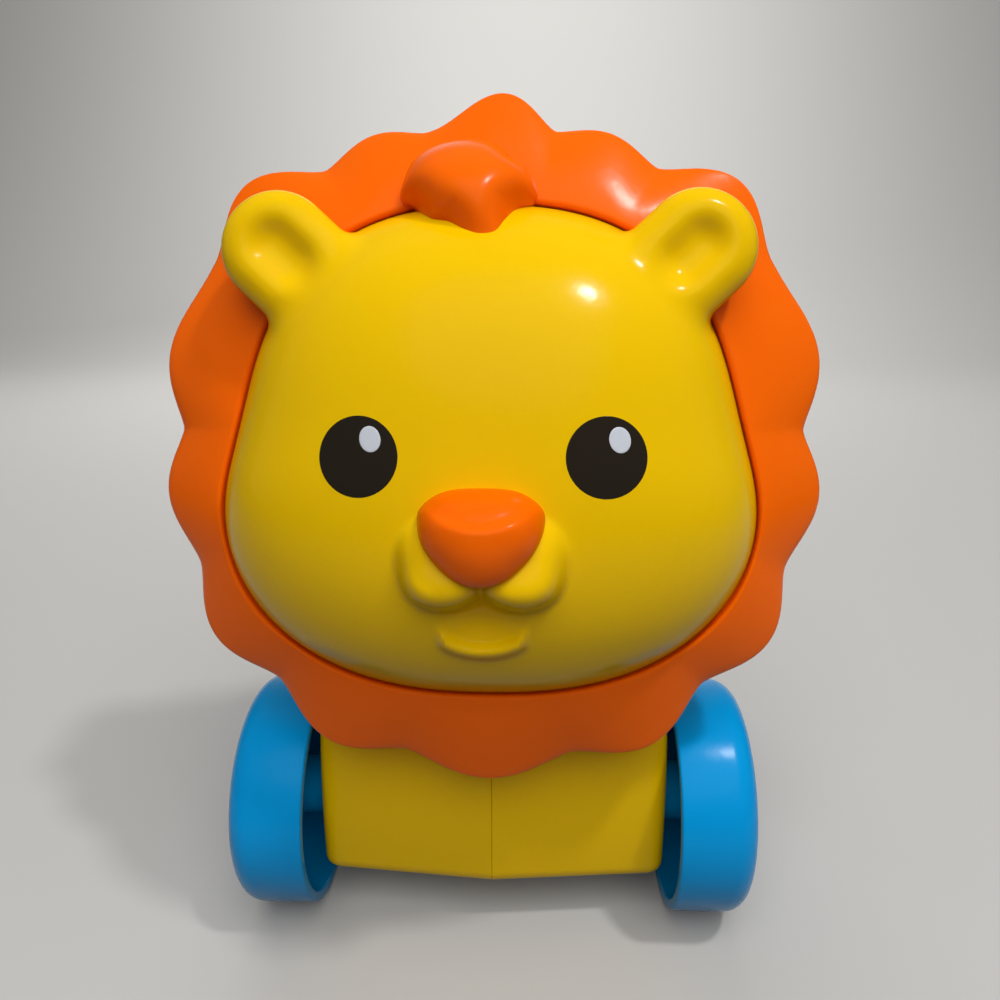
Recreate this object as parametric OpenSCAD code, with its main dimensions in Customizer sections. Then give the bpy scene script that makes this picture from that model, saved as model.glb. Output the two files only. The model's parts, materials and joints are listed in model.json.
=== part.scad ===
// Press-and-go lion: a toddler push toy on four wheels.
// Pressing the head down drives the rear axle through a rack, a one-way clutch and a gear pair.
// Millimetres. +Z is up, the face looks along -Y, and the origin is on the floor under the middle.

/* [Wheels and axles] */
// Outer radius of every wheel
wheel_r = 23.5; // [22:0.5:25]
// Width of a wheel's tread, from its open inner edge to its outer face
wheel_w = 15.2; // [12:0.2:20]
// Radius of the tread's outer shoulder
wheel_shoulder = 4.6; // [2:0.2:6]
// Wall of the hollow wheel
wheel_wall = 2.2; // [1.6:0.1:3]
// Radius of the wheel's hub
hub_r = 6; // [5:0.25:8]
// Depth of the dish in the wheel's outer face
wheel_dish = 2; // [0.5:0.25:3]
// Radius of the steel axles
axle_r = 2; // [1.5:0.1:2.5]
// Place of the front axle along the toy
front_axle_y = -16.5; // [-20:0.5:-13]
// Distance between the two axles
wheelbase = 56; // [54:0.5:61]
// Outer radius of an axle bush
bush_r = 4; // [3.5:0.1:5]
// Thickness of a bush's flange
bush_flange = 0.9; // [0.6:0.1:1.5]

/* [Body] */
// Width of the body across its two halves
body_w = 69.2; // [65:0.2:74]
// Height of the body
body_h = 34.5; // [33:0.5:38]
// Depth of the axles' centre above the body's underside
axle_drop = 12.4; // [11.5:0.1:13.5]
// Wall of the body shells
body_wall = 2.2; // [1.6:0.1:3]
// Reach of the seam at the body's front past the front axle
body_front_reach = 15.7; // [14:0.1:18]
// Reach of the body's rear wall past the rear axle
body_rear_reach = 15.5; // [13.5:0.5:19]
// Angle at which each front panel runs back from the seam
body_v_angle = 5; // [3:0.2:8]
// Lean of the front's upper part, above the lean line
body_lean = 16; // [15:0.5:20]
// Height of the lean line below the body's top
body_lean_h = 14; // [13:0.5:16]

/* [Neck and press drive] */
// Place of the neck's centre line along the toy
neck_y = -3; // [-5:0.5:-2]
// Outer radius of the neck
neck_r = 12; // [11:0.25:13]
// Wall of the neck where the spring sits
neck_wall = 3.4; // [2.5:0.1:4.5]
// Travel of the head when it is pressed
press_stroke = 9; // [6:0.5:10]
// Height of the collar above the body's top
collar_rise = 3.2; // [2:0.2:4]
// Height of the neck's top above the collar
neck_rise = 28; // [24:0.5:30]
// Height of the neck's stop flange
flange_h = 3; // [2:0.25:4]
// Clearance around the sliding neck
slide_gap = 0.3; // [0.2:0.05:0.5]
// Module of all the gear teeth
tooth_module = 0.8; // [0.7:0.05:0.9]
// Teeth on the clutch pinion that the rack turns
pinion_teeth = 14; // [12:1:16]
// Teeth on the drive gear
drive_teeth = 28; // [24:1:30]
// Teeth on the rear axle's gear
axle_teeth = 12; // [11:1:14]
// Radius of the fixed shaft that carries the pinion and the drive gear
layshaft_r = 1.5; // [1.2:0.1:2]
// Height of the layshaft above the axles
layshaft_rise = 4; // [3:0.5:5]
// Width of the rack
rack_w = 6; // [4:0.5:8]
// Thickness of the rack's bar behind its teeth
rack_bar = 3.9; // [3:0.1:5]
// Width of the drive gear
gear_w = 6.5; // [5:0.5:8]
// Wire radius of the return spring
spring_wire_r = 0.55; // [0.4:0.05:0.7]
// Radius of the return spring's coils, at the middle of the wire
spring_r = 6.4; // [6:0.1:7]
// Turns of the return spring
spring_turns = 9; // [6:1:11]

/* [Head] */
// How far the mane's lowest lobe hangs below the body's top
mane_hang = 1.6; // [0:0.1:2]
// Reach of the mane's centre in front of the neck
head_reach = 22; // [21:0.5:25]
// Backward lean of the head
head_tilt = 15; // [12:0.5:17]
// Wall of the head's shells
head_wall = 2.2; // [1.6:0.1:3]
// Half width of the face at its middle
face_half_w = 45.3; // [43:0.1:47]
// How much the face narrows above and widens below its middle
face_pear = 3.4; // [2:0.1:4.5]
// Half height of the face
face_half_h = 42.3; // [40:0.1:44]
// Depth of the face's dome in front of the mane's rim
face_depth = 26; // [22:0.5:30]
// Height of the cheeks of the muzzle
cheek_h = 4.8; // [3:0.2:6]
// Depth of the mouth under the cheeks
mouth_depth = 2.4; // [1:0.2:4]
// Radius of an ear
ear_r = 9.3; // [8:0.1:10]
// Thickness of an ear
ear_t = 10; // [8:0.25:11]
// Crown of the mane's front in front of its rim
mane_crown = 5.6; // [4:0.1:6]
// Depth of the mane's wall behind its rim
mane_depth = 6; // [4:0.25:7]
// Radius of the round back of the head
back_r = 42; // [38:0.5:43]
// Depth of the round back behind the mane
back_depth = 36; // [30:0.5:38]
// Radius of an eye
eye_r = 6.1; // [5:0.1:7]
// Place of an eye from the middle of the mane, across and up
eye_at = [18.4, -2]; // [-50:0.1:50]
// Half width of the nose
nose_half_w = 9.2; // [8:0.1:10]
// Height of the nose's top edge above its middle
nose_up = 5.9; // [5:0.1:7]
// Depth of the nose's point below its middle
nose_down = 7.9; // [6.5:0.1:8.5]
// Height of the nose's dome
nose_h = 6; // [4:0.25:8]
// Height of the forelock's dome
forelock_h = 6; // [4:0.25:8]

/* [Fasteners and fits] */
// Radius of a screw's shank
screw_r = 1.4; // [1.2:0.05:1.6]
// Radius of a screw's head
screw_head_r = 2.8; // [2.4:0.1:3.2]
// Height of a screw's head
screw_head_h = 2; // [1.6:0.1:2.6]
// Radius of a screw boss
boss_r = 3.5; // [3.2:0.1:4]
// Length of a body screw that is clamped, from under its head to the seam
body_screw_grip = 20; // [14:1:24]
// Length of a screw's bite past the seam
screw_bite = 12; // [8:1:14]
// Radial running clearance of shafts
run_gap = 0.05; // [0.02:0.01:0.1]
// Gap between moving faces, side by side
side_gap = 0.4; // [0.3:0.05:0.8]
// Gap between a trim piece's back and the shell it sits on
trim_gap = 0.2; // [0.15:0.05:0.4]
// Thickness of a print film
print_t = 0.3; // [0.2:0.05:0.5]

/* [Hidden] */
$fn = 96;

yellow = [0.96, 0.77, 0.02];
orange = [1.00, 0.42, 0.00];
blue = [0.02, 0.56, 0.86];
black = [0.10, 0.09, 0.08];
pale_grey = [0.80, 0.83, 0.87];
steel = [0.72, 0.72, 0.74];
white = [0.93, 0.93, 0.90];

far = 200;
bite = 1;

// Heights, from the floor up
axle_z = wheel_r;
body_z = axle_z - axle_drop;
body_top = body_z + body_h;
floor_z = body_z + body_wall;

// Wheels, across the toy
body_half = body_w / 2;
hub_proud = 0.4;
hub_x = body_half + bush_flange + side_gap;
tread_x = hub_x + hub_proud;
wheel_out = tread_x + wheel_w;
rear_axle_y = front_axle_y + wheelbase;
hub_end_wall = 1;
axle_half = wheel_out - wheel_wall - wheel_dish - hub_end_wall;
axles = [front_axle_y, rear_axle_y];
dish_land = 2;
bush_l = 4;
bush_lip = 2;
bush_boss_wall = 2.5;
bush_in = body_half - bush_l;
body_front_y = front_axle_y - body_front_reach;
body_rear_y = rear_axle_y + body_rear_reach;
head_y = neck_y - head_reach;

// Gear train
pressure_angle = 25;
backlash = 0.16;
pinion_pitch_r = tooth_module * pinion_teeth / 2;
drive_pitch_r = tooth_module * drive_teeth / 2;
axle_pitch_r = tooth_module * axle_teeth / 2;
drive_span = drive_pitch_r + axle_pitch_r;
layshaft_z = axle_z + layshaft_rise;
layshaft_y = rear_axle_y - sqrt(drive_span * drive_span - layshaft_rise * layshaft_rise);
mesh_angle = atan2(axle_z - layshaft_z, rear_axle_y - layshaft_y);
rack_y = layshaft_y - pinion_pitch_r;
rack_pitch = PI * tooth_module;
dedendum = 1.25 * tooth_module;
rack_root_y = rack_y - dedendum;
train_gap = 0.5;
pinion_x = rack_w / 2 + train_gap;
gear_x = pinion_x + train_gap;
gear_web = 1.5;
ratchet_rim = 2.6;
ratchet_r = drive_pitch_r - ratchet_rim;
ratchet_tooth = 1;
ratchet_teeth = 12;
pinion_hub_wall = 2;
pawl_t = 1.1;
pawl_arm = 1.6;
boss_left_x = pinion_x + train_gap;
boss_right_x = gear_x + gear_w + train_gap;
layshaft_boss_wall = 2.2;
layshaft_grip = 9;

// Neck, from its stop flange up
flange_over_pinion = 4;
flange_lip = 2;
collar_wall = 3.2;
rack_under_pinion = 4.5;
spring_recess = 16;
press_gap = 0.8;
spring_post_gap = 1.3;
spring_end_gap = 0.02;
flange_top = layshaft_z + press_stroke + flange_over_pinion;
flange_z = flange_top - flange_h;
flange_r = neck_r + flange_lip;
collar_r = neck_r + slide_gap + collar_wall;
collar_top = body_top + collar_rise;
rack_z = layshaft_z - rack_under_pinion;
spring_top = flange_z + spring_recess;
seat_t = 4;
socket_wall = 4;
neck_top = collar_top + neck_rise;
socket_cap = 3;
socket_z = collar_top + press_stroke + press_gap;
post_r = spring_r - spring_wire_r - spring_post_gap;
neck_boss_r = 4;

// Body screws: places along the toy and up, clear of the drive
screw_inset = 8;
screw_lift = 3.7;
hole_gap = 0.2;
head_gap = 0.3;
body_screw_at = [
    [body_front_y + 1.35 * screw_inset, body_top - 1.5 * screw_inset],
    [body_front_y + 1.25 * screw_inset, floor_z + screw_lift],
    [body_rear_y - screw_inset, body_top - 1.2 * screw_inset],
    [body_rear_y - 0.75 * screw_inset, floor_z + screw_lift]
];
body_r_front = 4;
body_r_rear = 14;
body_r_edge = 4.5;
body_r_toe = 3.5;

// Mane outline, from the top of the head round to the chin: each notch's angle, and how far
// each notch and each lobe stands out past the face's half height
notch_angle = [11.8, 31, 57, 87, 112, 138, 165];
notch_out = [13.2, 13.7, 16.2, 12.7, 14.2, 14.7, 14.9];
lobe_out = [18.7, 15.5, 20.6, 17.4, 16.4, 18.5, 18.9, 18.1];
notch_r = [for (out = notch_out) face_half_h + out];
lobe_r = [for (out = lobe_out) face_half_h + out];
lobe_round = 0.75;
top_lobe_lean = 1.3;
mane_steps = 168;
mane_gap = 0.4;
mane_edge = 0.55;
mane_power = 1.1;
mane_round = 0.7;
notch_fall = 0.12;
mane_draft = 0.8;
flange_inset = 1;
back_power = 2.2;
head_z = body_top - mane_hang + lobe_r[len(lobe_r) - 1] * cos(head_tilt);

// Face: its middle sits a little below the mane's, and its outline is a pear-shaped superellipse
face_v = -1.3;
face_top = face_v + face_half_h;
face_power = 2.4;
pear_span = 12;
dome_power = 2.6;
face_sink = 4;
face_steps = 96;
face_rings = 36;
face_ring_power = 1.4;
cheek_at = [6.3, -17];
cheek_r = 7.8;
cheek_edge_low = 3;
cheek_edge_high = 8;
mouth_v = -26.2;
mouth_half = [7, 4.4];
mouth_edge = 0.55;
lip_v = -20.8;
lip_r = 10.5;
lip_half_w = 7.4;
lip_h = 1.8;
lip_w = 2;
ear_angle = 47;
ear_out = 2.75;
ear_clear = 0.2;
ear_n = mane_crown + ear_clear + ear_t / 2;
ear_edge = 3.8;
ear_cup_r = 4.4;
ear_cup_lift = 1.9;
ear_tab = 16;
ear_cup_l = 4;
head_screw_at = [[26, 20], [-26, 20], [30, -20], [-30, -20]];
head_seam_n = 1;
head_screw_n = -14;
nose_at = [0, -12.4];
nose_lift = 2.5;
nose_n = face_depth + nose_lift;
nose_power = 3;
nose_peg_r = 3;
forelock_at = [-3, face_top + 0.6];
forelock_lift = 5;
forelock_n = mane_crown + forelock_lift;
forelock_slope = 0.6;
forelock_sag = 0.045;
forelock_power = 2.6;
forelock_peg_at = [[-6.5, face_top + 5], [1.5, face_top + 5]];
forelock_peg_r = 1.6;
peg_l = 4;
trim_edge = 0.5;
eye_gap = 0.05;
glint_at = [1.9, 2.6];
glint_r = 1.75;

// Round corners of an outline: each corner becomes an arc of its own radius
function unit(v) = v / norm(v);
function corner(a, b, c, r, n) =
    let (
        p = unit(a - b), q = unit(c - b), half = acos(p * q) / 2, reach = r / tan(half),
        mid = b + unit(p + q) * r / sin(half), s = b + p * reach - mid, e = b + q * reach - mid,
        start = atan2(s[1], s[0]), turn = ((atan2(e[1], e[0]) - start + 540) % 360) - 180
    )
    r <= 0 ? [b] : [for (i = [0:n]) mid + r * [cos(start + turn * i / n), sin(start + turn * i / n)]];
function filleted(points, radii, n = 6) =
    let (k = len(points))
    [for (i = [0:k - 1]) each corner(points[(i + k - 1) % k], points[i], points[(i + 1) % k], radii[i], n)];

// Smooth helpers
function mix(a, b, t) = a + (b - a) * t;
function tanh(x) = (exp(x) - exp(-x)) / (exp(x) + exp(-x));
function ease(t) = let (c = max(0, min(1, t))) c * c * (3 - 2 * c);

// Outline of the face, measured from the face's own middle; angle 0 is straight up
function face_half_at(v) = face_half_w - face_pear * tanh((v + 2) / pear_span);
function face_r(a) =
    let (half = face_half_at(face_half_h * cos(a)))
    pow(pow(abs(sin(a)) / half, face_power) + pow(abs(cos(a)) / face_half_h, face_power), -1 / face_power);

// Height of the face's surface over the plane of the mane's rim, at a place measured from the mane's middle
function cheeks(u, v) =
    let (
        across = abs(u) - cheek_at[0], up = v - cheek_at[1],
        edge = mix(cheek_edge_low, cheek_edge_high, ease(up / cheek_r + 0.5))
    )
    cheek_h * ease((cheek_r - norm([across, up])) / edge);
function mouth(u, v) =
    mouth_depth * ease((1 - norm([u / mouth_half[0], (v - mouth_v) / mouth_half[1]])) / mouth_edge);
function lip(u, v) =
    let (below = max(0, lip_v - v))
    lip_h * ease(1 - abs(norm([u, below]) - lip_r) / lip_w) * ease((lip_half_w - abs(u)) / lip_w);
function muzzle(u, v) = cheeks(u, v) - mouth(u, v) + lip(u, v);
function face_n(u, v) =
    let (w = v - face_v, a = atan2(u, w), s = min(1, norm([u, w]) / face_r(a)))
    face_depth * sqrt(1 - pow(s, dome_power)) + muzzle(u, v);

// Outline of the mane, measured from its own middle
function half_turn(a) = ((a + 540) % 360) - 180;
function lobe_index(a, i = 0) = i == len(notch_angle) || a < notch_angle[i] ? i : lobe_index(a, i + 1);
function mane_r(a) =
    let (
        signed = half_turn(a), b = abs(signed), i = lobe_index(b), last = len(notch_angle),
        lo = i == 0 ? -notch_angle[0] : notch_angle[i - 1],
        hi = i == last ? 360 - notch_angle[last - 1] : notch_angle[i],
        lo_r = notch_r[max(i - 1, 0)], hi_r = notch_r[min(i, last - 1)],
        t = i == 0 ? pow((signed - lo) / (hi - lo), top_lobe_lean) : (b - lo) / (hi - lo),
        base = mix(lo_r, hi_r, t)
    )
    base + (lobe_r[i] - base) * pow(0.5 - 0.5 * cos(360 * t), lobe_round);
function mane_relief(a) = (mane_r(a) - min(notch_r)) / (max(lobe_r) - min(notch_r));

// The mane's opening follows the face's outline, seen from the mane's middle
function opening_r(a) =
    let (
        u = sin(a), v = cos(a), f = face_r(atan2(u * face_half_w, v * face_half_w - face_v)),
        b = -v * face_v, c = face_v * face_v - f * f
    )
    -b + sqrt(b * b - c) + mane_gap;
function mane_n(r, a) =
    let (t = (r - opening_r(a)) / (mane_r(a) - opening_r(a)))
    t < 0 || t > 1 ? -face_sink
        : mane_crown * pow(1 - pow(t, mane_power), mane_round) * (1 - notch_fall * (1 - mane_relief(a)) * t);
ear_at = (opening_r(ear_angle) - mane_gap + ear_out) * [sin(ear_angle), cos(ear_angle)];

// Solid between a front and a back sheet of points that share one outline
module lens(front, back, steps) {
    rings = len(front) - 1;
    back_rings = len(back) - 1;
    points = [front[0], for (k = [1:rings]) each front[k], back[0], for (k = [1:back_rings]) each back[k]];
    base = 1 + rings * steps;
    function f(k, j) = 1 + (k - 1) * steps + j % steps;
    function b(k, j) = base + 1 + (k - 1) * steps + j % steps;
    faces = [
        for (j = [0:steps - 1]) [0, f(1, j), f(1, j + 1)],
        for (k = [1:1:rings - 1]) for (j = [0:steps - 1]) each
            [[f(k, j), f(k + 1, j + 1), f(k, j + 1)], [f(k, j), f(k + 1, j), f(k + 1, j + 1)]],
        for (j = [0:steps - 1]) each [
            [f(rings, j), b(back_rings, j + 1), f(rings, j + 1)],
            [f(rings, j), b(back_rings, j), b(back_rings, j + 1)]
        ],
        for (k = [1:1:back_rings - 1]) for (j = [0:steps - 1]) each
            [[b(k, j + 1), b(k + 1, j), b(k, j)], [b(k, j + 1), b(k + 1, j + 1), b(k + 1, j)]],
        for (j = [0:steps - 1]) [base, b(1, j + 1), b(1, j)]
    ];
    polyhedron(points, faces);
}

// Solid ring or tube through a list of cross-sections; a closed ring joins its last section to its first
module loft(sections, closed) {
    n = len(sections[0]);
    m = len(sections);
    function at(j, i) = (j % m) * n + i % n;
    polyhedron(
        [for (s = sections) each s],
        [
            for (j = [0:closed ? m - 1 : m - 2]) for (i = [0:n - 1]) each
                [[at(j, i), at(j, i + 1), at(j + 1, i + 1)], [at(j, i), at(j + 1, i + 1), at(j + 1, i)]],
            if (!closed) for (i = [1:n - 2]) [0, i + 1, i],
            if (!closed) for (i = [1:n - 2]) [at(m - 1, 0), at(m - 1, i), at(m - 1, i + 1)]
        ]
    );
}

// Places: the head's own frame has x across, y up the face and z out of it
module in_head() {
    translate([0, head_y, head_z]) rotate([90 - head_tilt, 0, 0]) children();
}
module along_x(x, y, z) {
    translate([x, y, z]) rotate([90, 0, 90]) children();
}
module rod(x0, x1, r, y, z) {
    along_x(x0, y, z) cylinder(r = r, h = x1 - x0);
}
module upright(z0, z1, r) {
    translate([0, neck_y, z0]) cylinder(r = r, h = z1 - z0);
}

// Body: the outer form, or the same form drawn in by a wall
module body_form(inset) {
    half = body_half - inset;
    front = body_front_y + inset / cos(body_v_angle);
    rear = body_rear_y - inset;
    low = body_z + inset;
    top = body_top - inset;
    corner_y = front + half * tan(body_v_angle);
    lean_y = front + body_lean_h * tan(body_lean);
    intersection() {
        linear_extrude(far) polygon(filleted(
            [[0, front], [half, corner_y], [half, rear], [-half, rear], [-half, corner_y]],
            [0, body_r_front - inset, body_r_rear - inset, body_r_rear - inset, body_r_front - inset]
        ));
        translate([0, far, 0]) rotate([90, 0, 0]) linear_extrude(2 * far) polygon(filleted(
            [[-half, low], [half, low], [half, top], [-half, top]],
            [for (i = [0:3]) body_r_edge - inset]
        ));
        along_x(-far, 0, 0) linear_extrude(2 * far) polygon(filleted(
            [[front, low], [rear, low], [rear, top], [lean_y, top], [front, top - body_lean_h + inset / 2]],
            [body_r_toe, body_r_rear / 2 - inset, body_r_rear - inset, body_r_edge - inset, 0]
        ));
    }
}

module body_bosses() {
    upright(floor_z - body_wall / 4, flange_z + bite, post_r);
    upright(flange_top, body_top, collar_r);
    for (at = body_screw_at) rod(-far, far, boss_r, at[0], at[1]);
    for (y = axles) {
        rod(bush_in, far, bush_r + bush_boss_wall, y, axle_z);
        rod(-far, -bush_in, bush_r + bush_boss_wall, y, axle_z);
    }
    rod(-far, -boss_left_x, layshaft_r + layshaft_boss_wall, layshaft_y, layshaft_z);
    rod(boss_right_x, far, layshaft_r + layshaft_boss_wall, layshaft_y, layshaft_z);
}

// Both body shells in one, before they are parted at the seam
module body_whole() {
    difference() {
        union() {
            difference() {
                body_form(0);
                body_form(body_wall);
            }
            intersection() {
                body_form(body_wall / 2);
                body_bosses();
            }
            upright(body_top - body_wall / 2, collar_top, collar_r);
        }
        upright(flange_top - bite, far, neck_r + slide_gap);
        for (y = axles) rod(-far, far, bush_r, y, axle_z);
        rod(-boss_left_x - layshaft_grip, boss_right_x + layshaft_grip, layshaft_r, layshaft_y, layshaft_z);
    }
}

module body_left_shell() color(yellow) {
    difference() {
        intersection() {
            body_whole();
            translate([-far, -far, 0]) cube([far, 2 * far, far]);
        }
        for (at = body_screw_at) {
            rod(-far, bite, screw_r + hole_gap, at[0], at[1]);
            rod(-far, -body_screw_grip, screw_head_r + head_gap, at[0], at[1]);
        }
    }
}

module body_right_shell() color(yellow) {
    difference() {
        intersection() {
            body_whole();
            translate([0, -far, 0]) cube([far, 2 * far, far]);
        }
        for (at = body_screw_at) rod(-bite, screw_bite + bite, screw_r, at[0], at[1]);
    }
}

// A screw along +Z with its head's seat at the origin
module screw(length) {
    translate([0, 0, -screw_head_h]) cylinder(r = screw_head_r, h = screw_head_h);
    cylinder(r = screw_r, h = length);
}

module body_screws() color(steel) {
    for (at = body_screw_at)
        along_x(-body_screw_grip, at[0], at[1]) screw(body_screw_grip + screw_bite);
}

module bush(side, y) {
    mirror([side < 0 ? 1 : 0, 0, 0]) difference() {
        union() {
            rod(bush_in, body_half, bush_r, y, axle_z);
            rod(body_half, body_half + bush_flange, bush_r + bush_lip, y, axle_z);
        }
        rod(0, far, axle_r + run_gap, y, axle_z);
    }
}

module axle_bushes() color(white) {
    for (y = axles) for (side = [-1, 1]) bush(side, y);
}

module axle(y) {
    rod(-axle_half, axle_half, axle_r, y, axle_z);
}
module front_axle() color(steel) axle(front_axle_y);
module rear_axle() color(steel) axle(rear_axle_y);

// A hollow wheel: a round-shouldered tread, a dished outer face and a blind hub on the axle
module wheel_profile() {
    flat = wheel_r - wheel_shoulder;
    dish_r = flat - dish_land;
    hollow = wheel_w - wheel_wall - wheel_dish;
    difference() {
        union() {
            translate([0, tread_x]) square([wheel_r, wheel_w - wheel_shoulder]);
            translate([0, tread_x]) square([flat, wheel_w]);
            translate([flat, wheel_out - wheel_shoulder]) circle(wheel_shoulder);
        }
        translate([0, tread_x - bite]) square([wheel_r - wheel_wall, hollow + bite]);
        translate([hub_r + dish_land, wheel_out - wheel_dish])
            square([dish_r - hub_r - dish_land, wheel_dish + bite]);
    }
    translate([0, hub_x]) square([hub_r, hollow + hub_proud + wheel_wall / 4]);
}

module wheel(side, y) {
    mirror([side < 0 ? 1 : 0, 0, 0]) difference() {
        along_x(0, y, axle_z) rotate_extrude() wheel_profile();
        rod(0, axle_half, axle_r, y, axle_z);
    }
}
module front_left_wheel() color(blue) wheel(-1, front_axle_y);
module front_right_wheel() color(blue) wheel(1, front_axle_y);
module rear_left_wheel() color(blue) wheel(-1, rear_axle_y);
module rear_right_wheel() color(blue) wheel(1, rear_axle_y);

// Involute gear outline with a tooth at the phase angle
function involute(a) = tan(a) * 180 / PI - a;
function tooth_half(r, teeth) =
    let (pitch_r = tooth_module * teeth / 2, base_r = pitch_r * cos(pressure_angle))
    90 / teeth - backlash / 4 / pitch_r * 180 / PI + involute(pressure_angle)
        - involute(acos(min(1, base_r / r)));
module gear_2d(teeth, phase) {
    pitch_r = tooth_module * teeth / 2;
    root_r = pitch_r - dedendum;
    tip_r = pitch_r + tooth_module;
    steps = 4;
    rising = [for (i = [0:steps]) let (r = mix(root_r, tip_r, i / steps)) [r, -tooth_half(r, teeth)]];
    falling = [for (i = [steps:-1:0]) [rising[i][0], -rising[i][1]]];
    polygon([
        for (k = [0:teeth - 1]) for (p = concat(rising, falling))
            let (a = phase + 360 * k / teeth + p[1]) p[0] * [cos(a), sin(a)]
    ]);
}

module axle_gear() color(white) {
    difference() {
        along_x(gear_x, rear_axle_y, axle_z)
            linear_extrude(gear_w) gear_2d(axle_teeth, mesh_angle + 180 + 180 / axle_teeth);
        rod(0, far, axle_r, rear_axle_y, axle_z);
    }
}

module ratchet_2d() {
    polygon([
        for (k = [0:ratchet_teeth - 1]) let (a = 360 * k / ratchet_teeth) each [
            (ratchet_r - ratchet_tooth) * [cos(a), sin(a)], ratchet_r * [cos(a), sin(a)]
        ]
    ]);
}

module drive_gear() color(white) {
    difference() {
        along_x(gear_x, layshaft_y, layshaft_z) difference() {
            linear_extrude(gear_w) gear_2d(drive_teeth, mesh_angle);
            translate([0, 0, -bite]) linear_extrude(gear_w - gear_web + bite) ratchet_2d();
        }
        rod(0, far, layshaft_r + run_gap, layshaft_y, layshaft_z);
    }
}

// Two springy pawls on the pinion's hub, drawn free of the ratchet as when the toy coasts
module pawls_2d() {
    hub = layshaft_r + pinion_hub_wall;
    outer = ratchet_r - ratchet_tooth - 2 * side_gap;
    circle(hub);
    for (k = [0, 180]) rotate(k) {
        translate([hub - pawl_t / 2, 0]) square([outer - hub, pawl_arm]);
        intersection() {
            difference() {
                circle(outer);
                circle(outer - pawl_t);
            }
            polygon([[0, 0], [far, 0], [far, far], [-far / 2, far]]);
        }
    }
}

module clutch_pinion() color(orange) {
    hub_end = gear_x + gear_w - gear_web - side_gap;
    difference() {
        union() {
            along_x(-pinion_x, layshaft_y, layshaft_z)
                linear_extrude(2 * pinion_x) gear_2d(pinion_teeth, 180);
            along_x(pinion_x, layshaft_y, layshaft_z)
                cylinder(r = layshaft_r + pinion_hub_wall, h = hub_end - pinion_x);
            along_x(gear_x + side_gap, layshaft_y, layshaft_z)
                linear_extrude(hub_end - gear_x - side_gap) pawls_2d();
        }
        rod(-far, far, layshaft_r + run_gap, layshaft_y, layshaft_z);
    }
}

module layshaft() color(steel) {
    rod(-boss_left_x - layshaft_grip, boss_right_x + layshaft_grip, layshaft_r, layshaft_y, layshaft_z);
}

// The rack hangs from the neck's stop flange, and its spaces are centred on the pinion's teeth
module rack_2d() {
    rack_top = flange_top;
    thin = backlash / 4;
    slope = tan(pressure_angle);
    translate([rack_root_y - rack_bar, rack_z]) square([rack_bar, rack_top - rack_z]);
    first = ceil((rack_z - layshaft_z) / rack_pitch);
    last = floor((rack_top - layshaft_z) / rack_pitch) - 1;
    root_half = rack_pitch / 4 - thin + dedendum * slope;
    tip_half = rack_pitch / 4 - thin - tooth_module * slope;
    tip_y = rack_y + tooth_module;
    sunk_y = rack_root_y - backlash;
    for (k = [first:last]) translate([0, layshaft_z + (k + 0.5) * rack_pitch]) polygon([
        [sunk_y, -root_half], [rack_root_y, -root_half], [tip_y, -tip_half],
        [tip_y, tip_half], [rack_root_y, root_half], [sunk_y, root_half]
    ]);
}

module neck_post() color(yellow) {
    difference() {
        union() {
            difference() {
                union() {
                    upright(flange_z, neck_top, neck_r);
                    upright(flange_z, flange_top, flange_r);
                }
                upright(flange_z - bite, spring_top, neck_r - neck_wall);
                difference() {
                    upright(spring_top + seat_t, neck_top + bite, neck_r - neck_wall / 2);
                    upright(spring_top, neck_top, neck_boss_r);
                }
            }
            along_x(-rack_w / 2, 0, 0) linear_extrude(rack_w) {
                rack_2d();
                translate([neck_y + neck_r - bite, flange_z])
                    square([rack_root_y - neck_y - neck_r + bite, flange_h]);
            }
        }
        upright(neck_top - screw_bite - bite, neck_top + bite, screw_r);
    }
}

module neck_screw() color(steel) {
    translate([0, neck_y, neck_top + socket_cap]) rotate([180, 0, 0]) screw(socket_cap + screw_bite);
}

// The return spring, one wire wound between the body's floor and the neck's seat
spring_steps = 12;
spring_sides = 6;
function spring_ring(j) =
    let (
        a = 360 * j / spring_steps, foot = floor_z + spring_wire_r + spring_end_gap,
        rise = spring_top - spring_wire_r - spring_end_gap - foot,
        z = foot + rise * j / spring_turns / spring_steps
    )
    [
        for (i = [0:spring_sides - 1])
            let (w = 360 * i / spring_sides, r = spring_r + spring_wire_r * cos(w))
            [r * cos(a), neck_y + r * sin(a), z + spring_wire_r * sin(w)]
    ];
module return_spring() color(steel) {
    loft([for (j = [0:spring_turns * spring_steps]) spring_ring(j)], false);
}

// Face: a domed shell with muzzle and ears, and posts for the head screws
function face_point(s, a, wall) =
    let (r = s * (face_r(a) - wall), u = r * sin(a), v = face_v + r * cos(a))
    [u, v, wall == 0 ? (s == 1 ? 0 : face_n(u, v)) : (face_depth - wall) * sqrt(1 - pow(s, dome_power))];
module face_dome() {
    turn = 360 / face_steps;
    inner_rings = 7;
    lens(
        [
            face_point(0, 0, 0),
            for (k = [1:face_rings]) let (s = 1 - pow(1 - k / face_rings, face_ring_power))
                [for (j = [0:face_steps - 1]) face_point(s, j * turn, 0)],
            [for (j = [0:face_steps - 1]) let (p = face_point(1, j * turn, 0)) [p[0], p[1], -face_sink]]
        ],
        [
            face_point(0, 0, head_wall),
            for (k = [1:inner_rings]) let (s = sin(90 * k / inner_rings))
                [for (j = [0:face_steps - 1]) face_point(s, j * turn, head_wall)],
            [
                for (j = [0:face_steps - 1]) let (p = face_point(1, j * turn, head_wall))
                    [p[0], p[1], -face_sink]
            ]
        ],
        face_steps
    );
}

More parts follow.
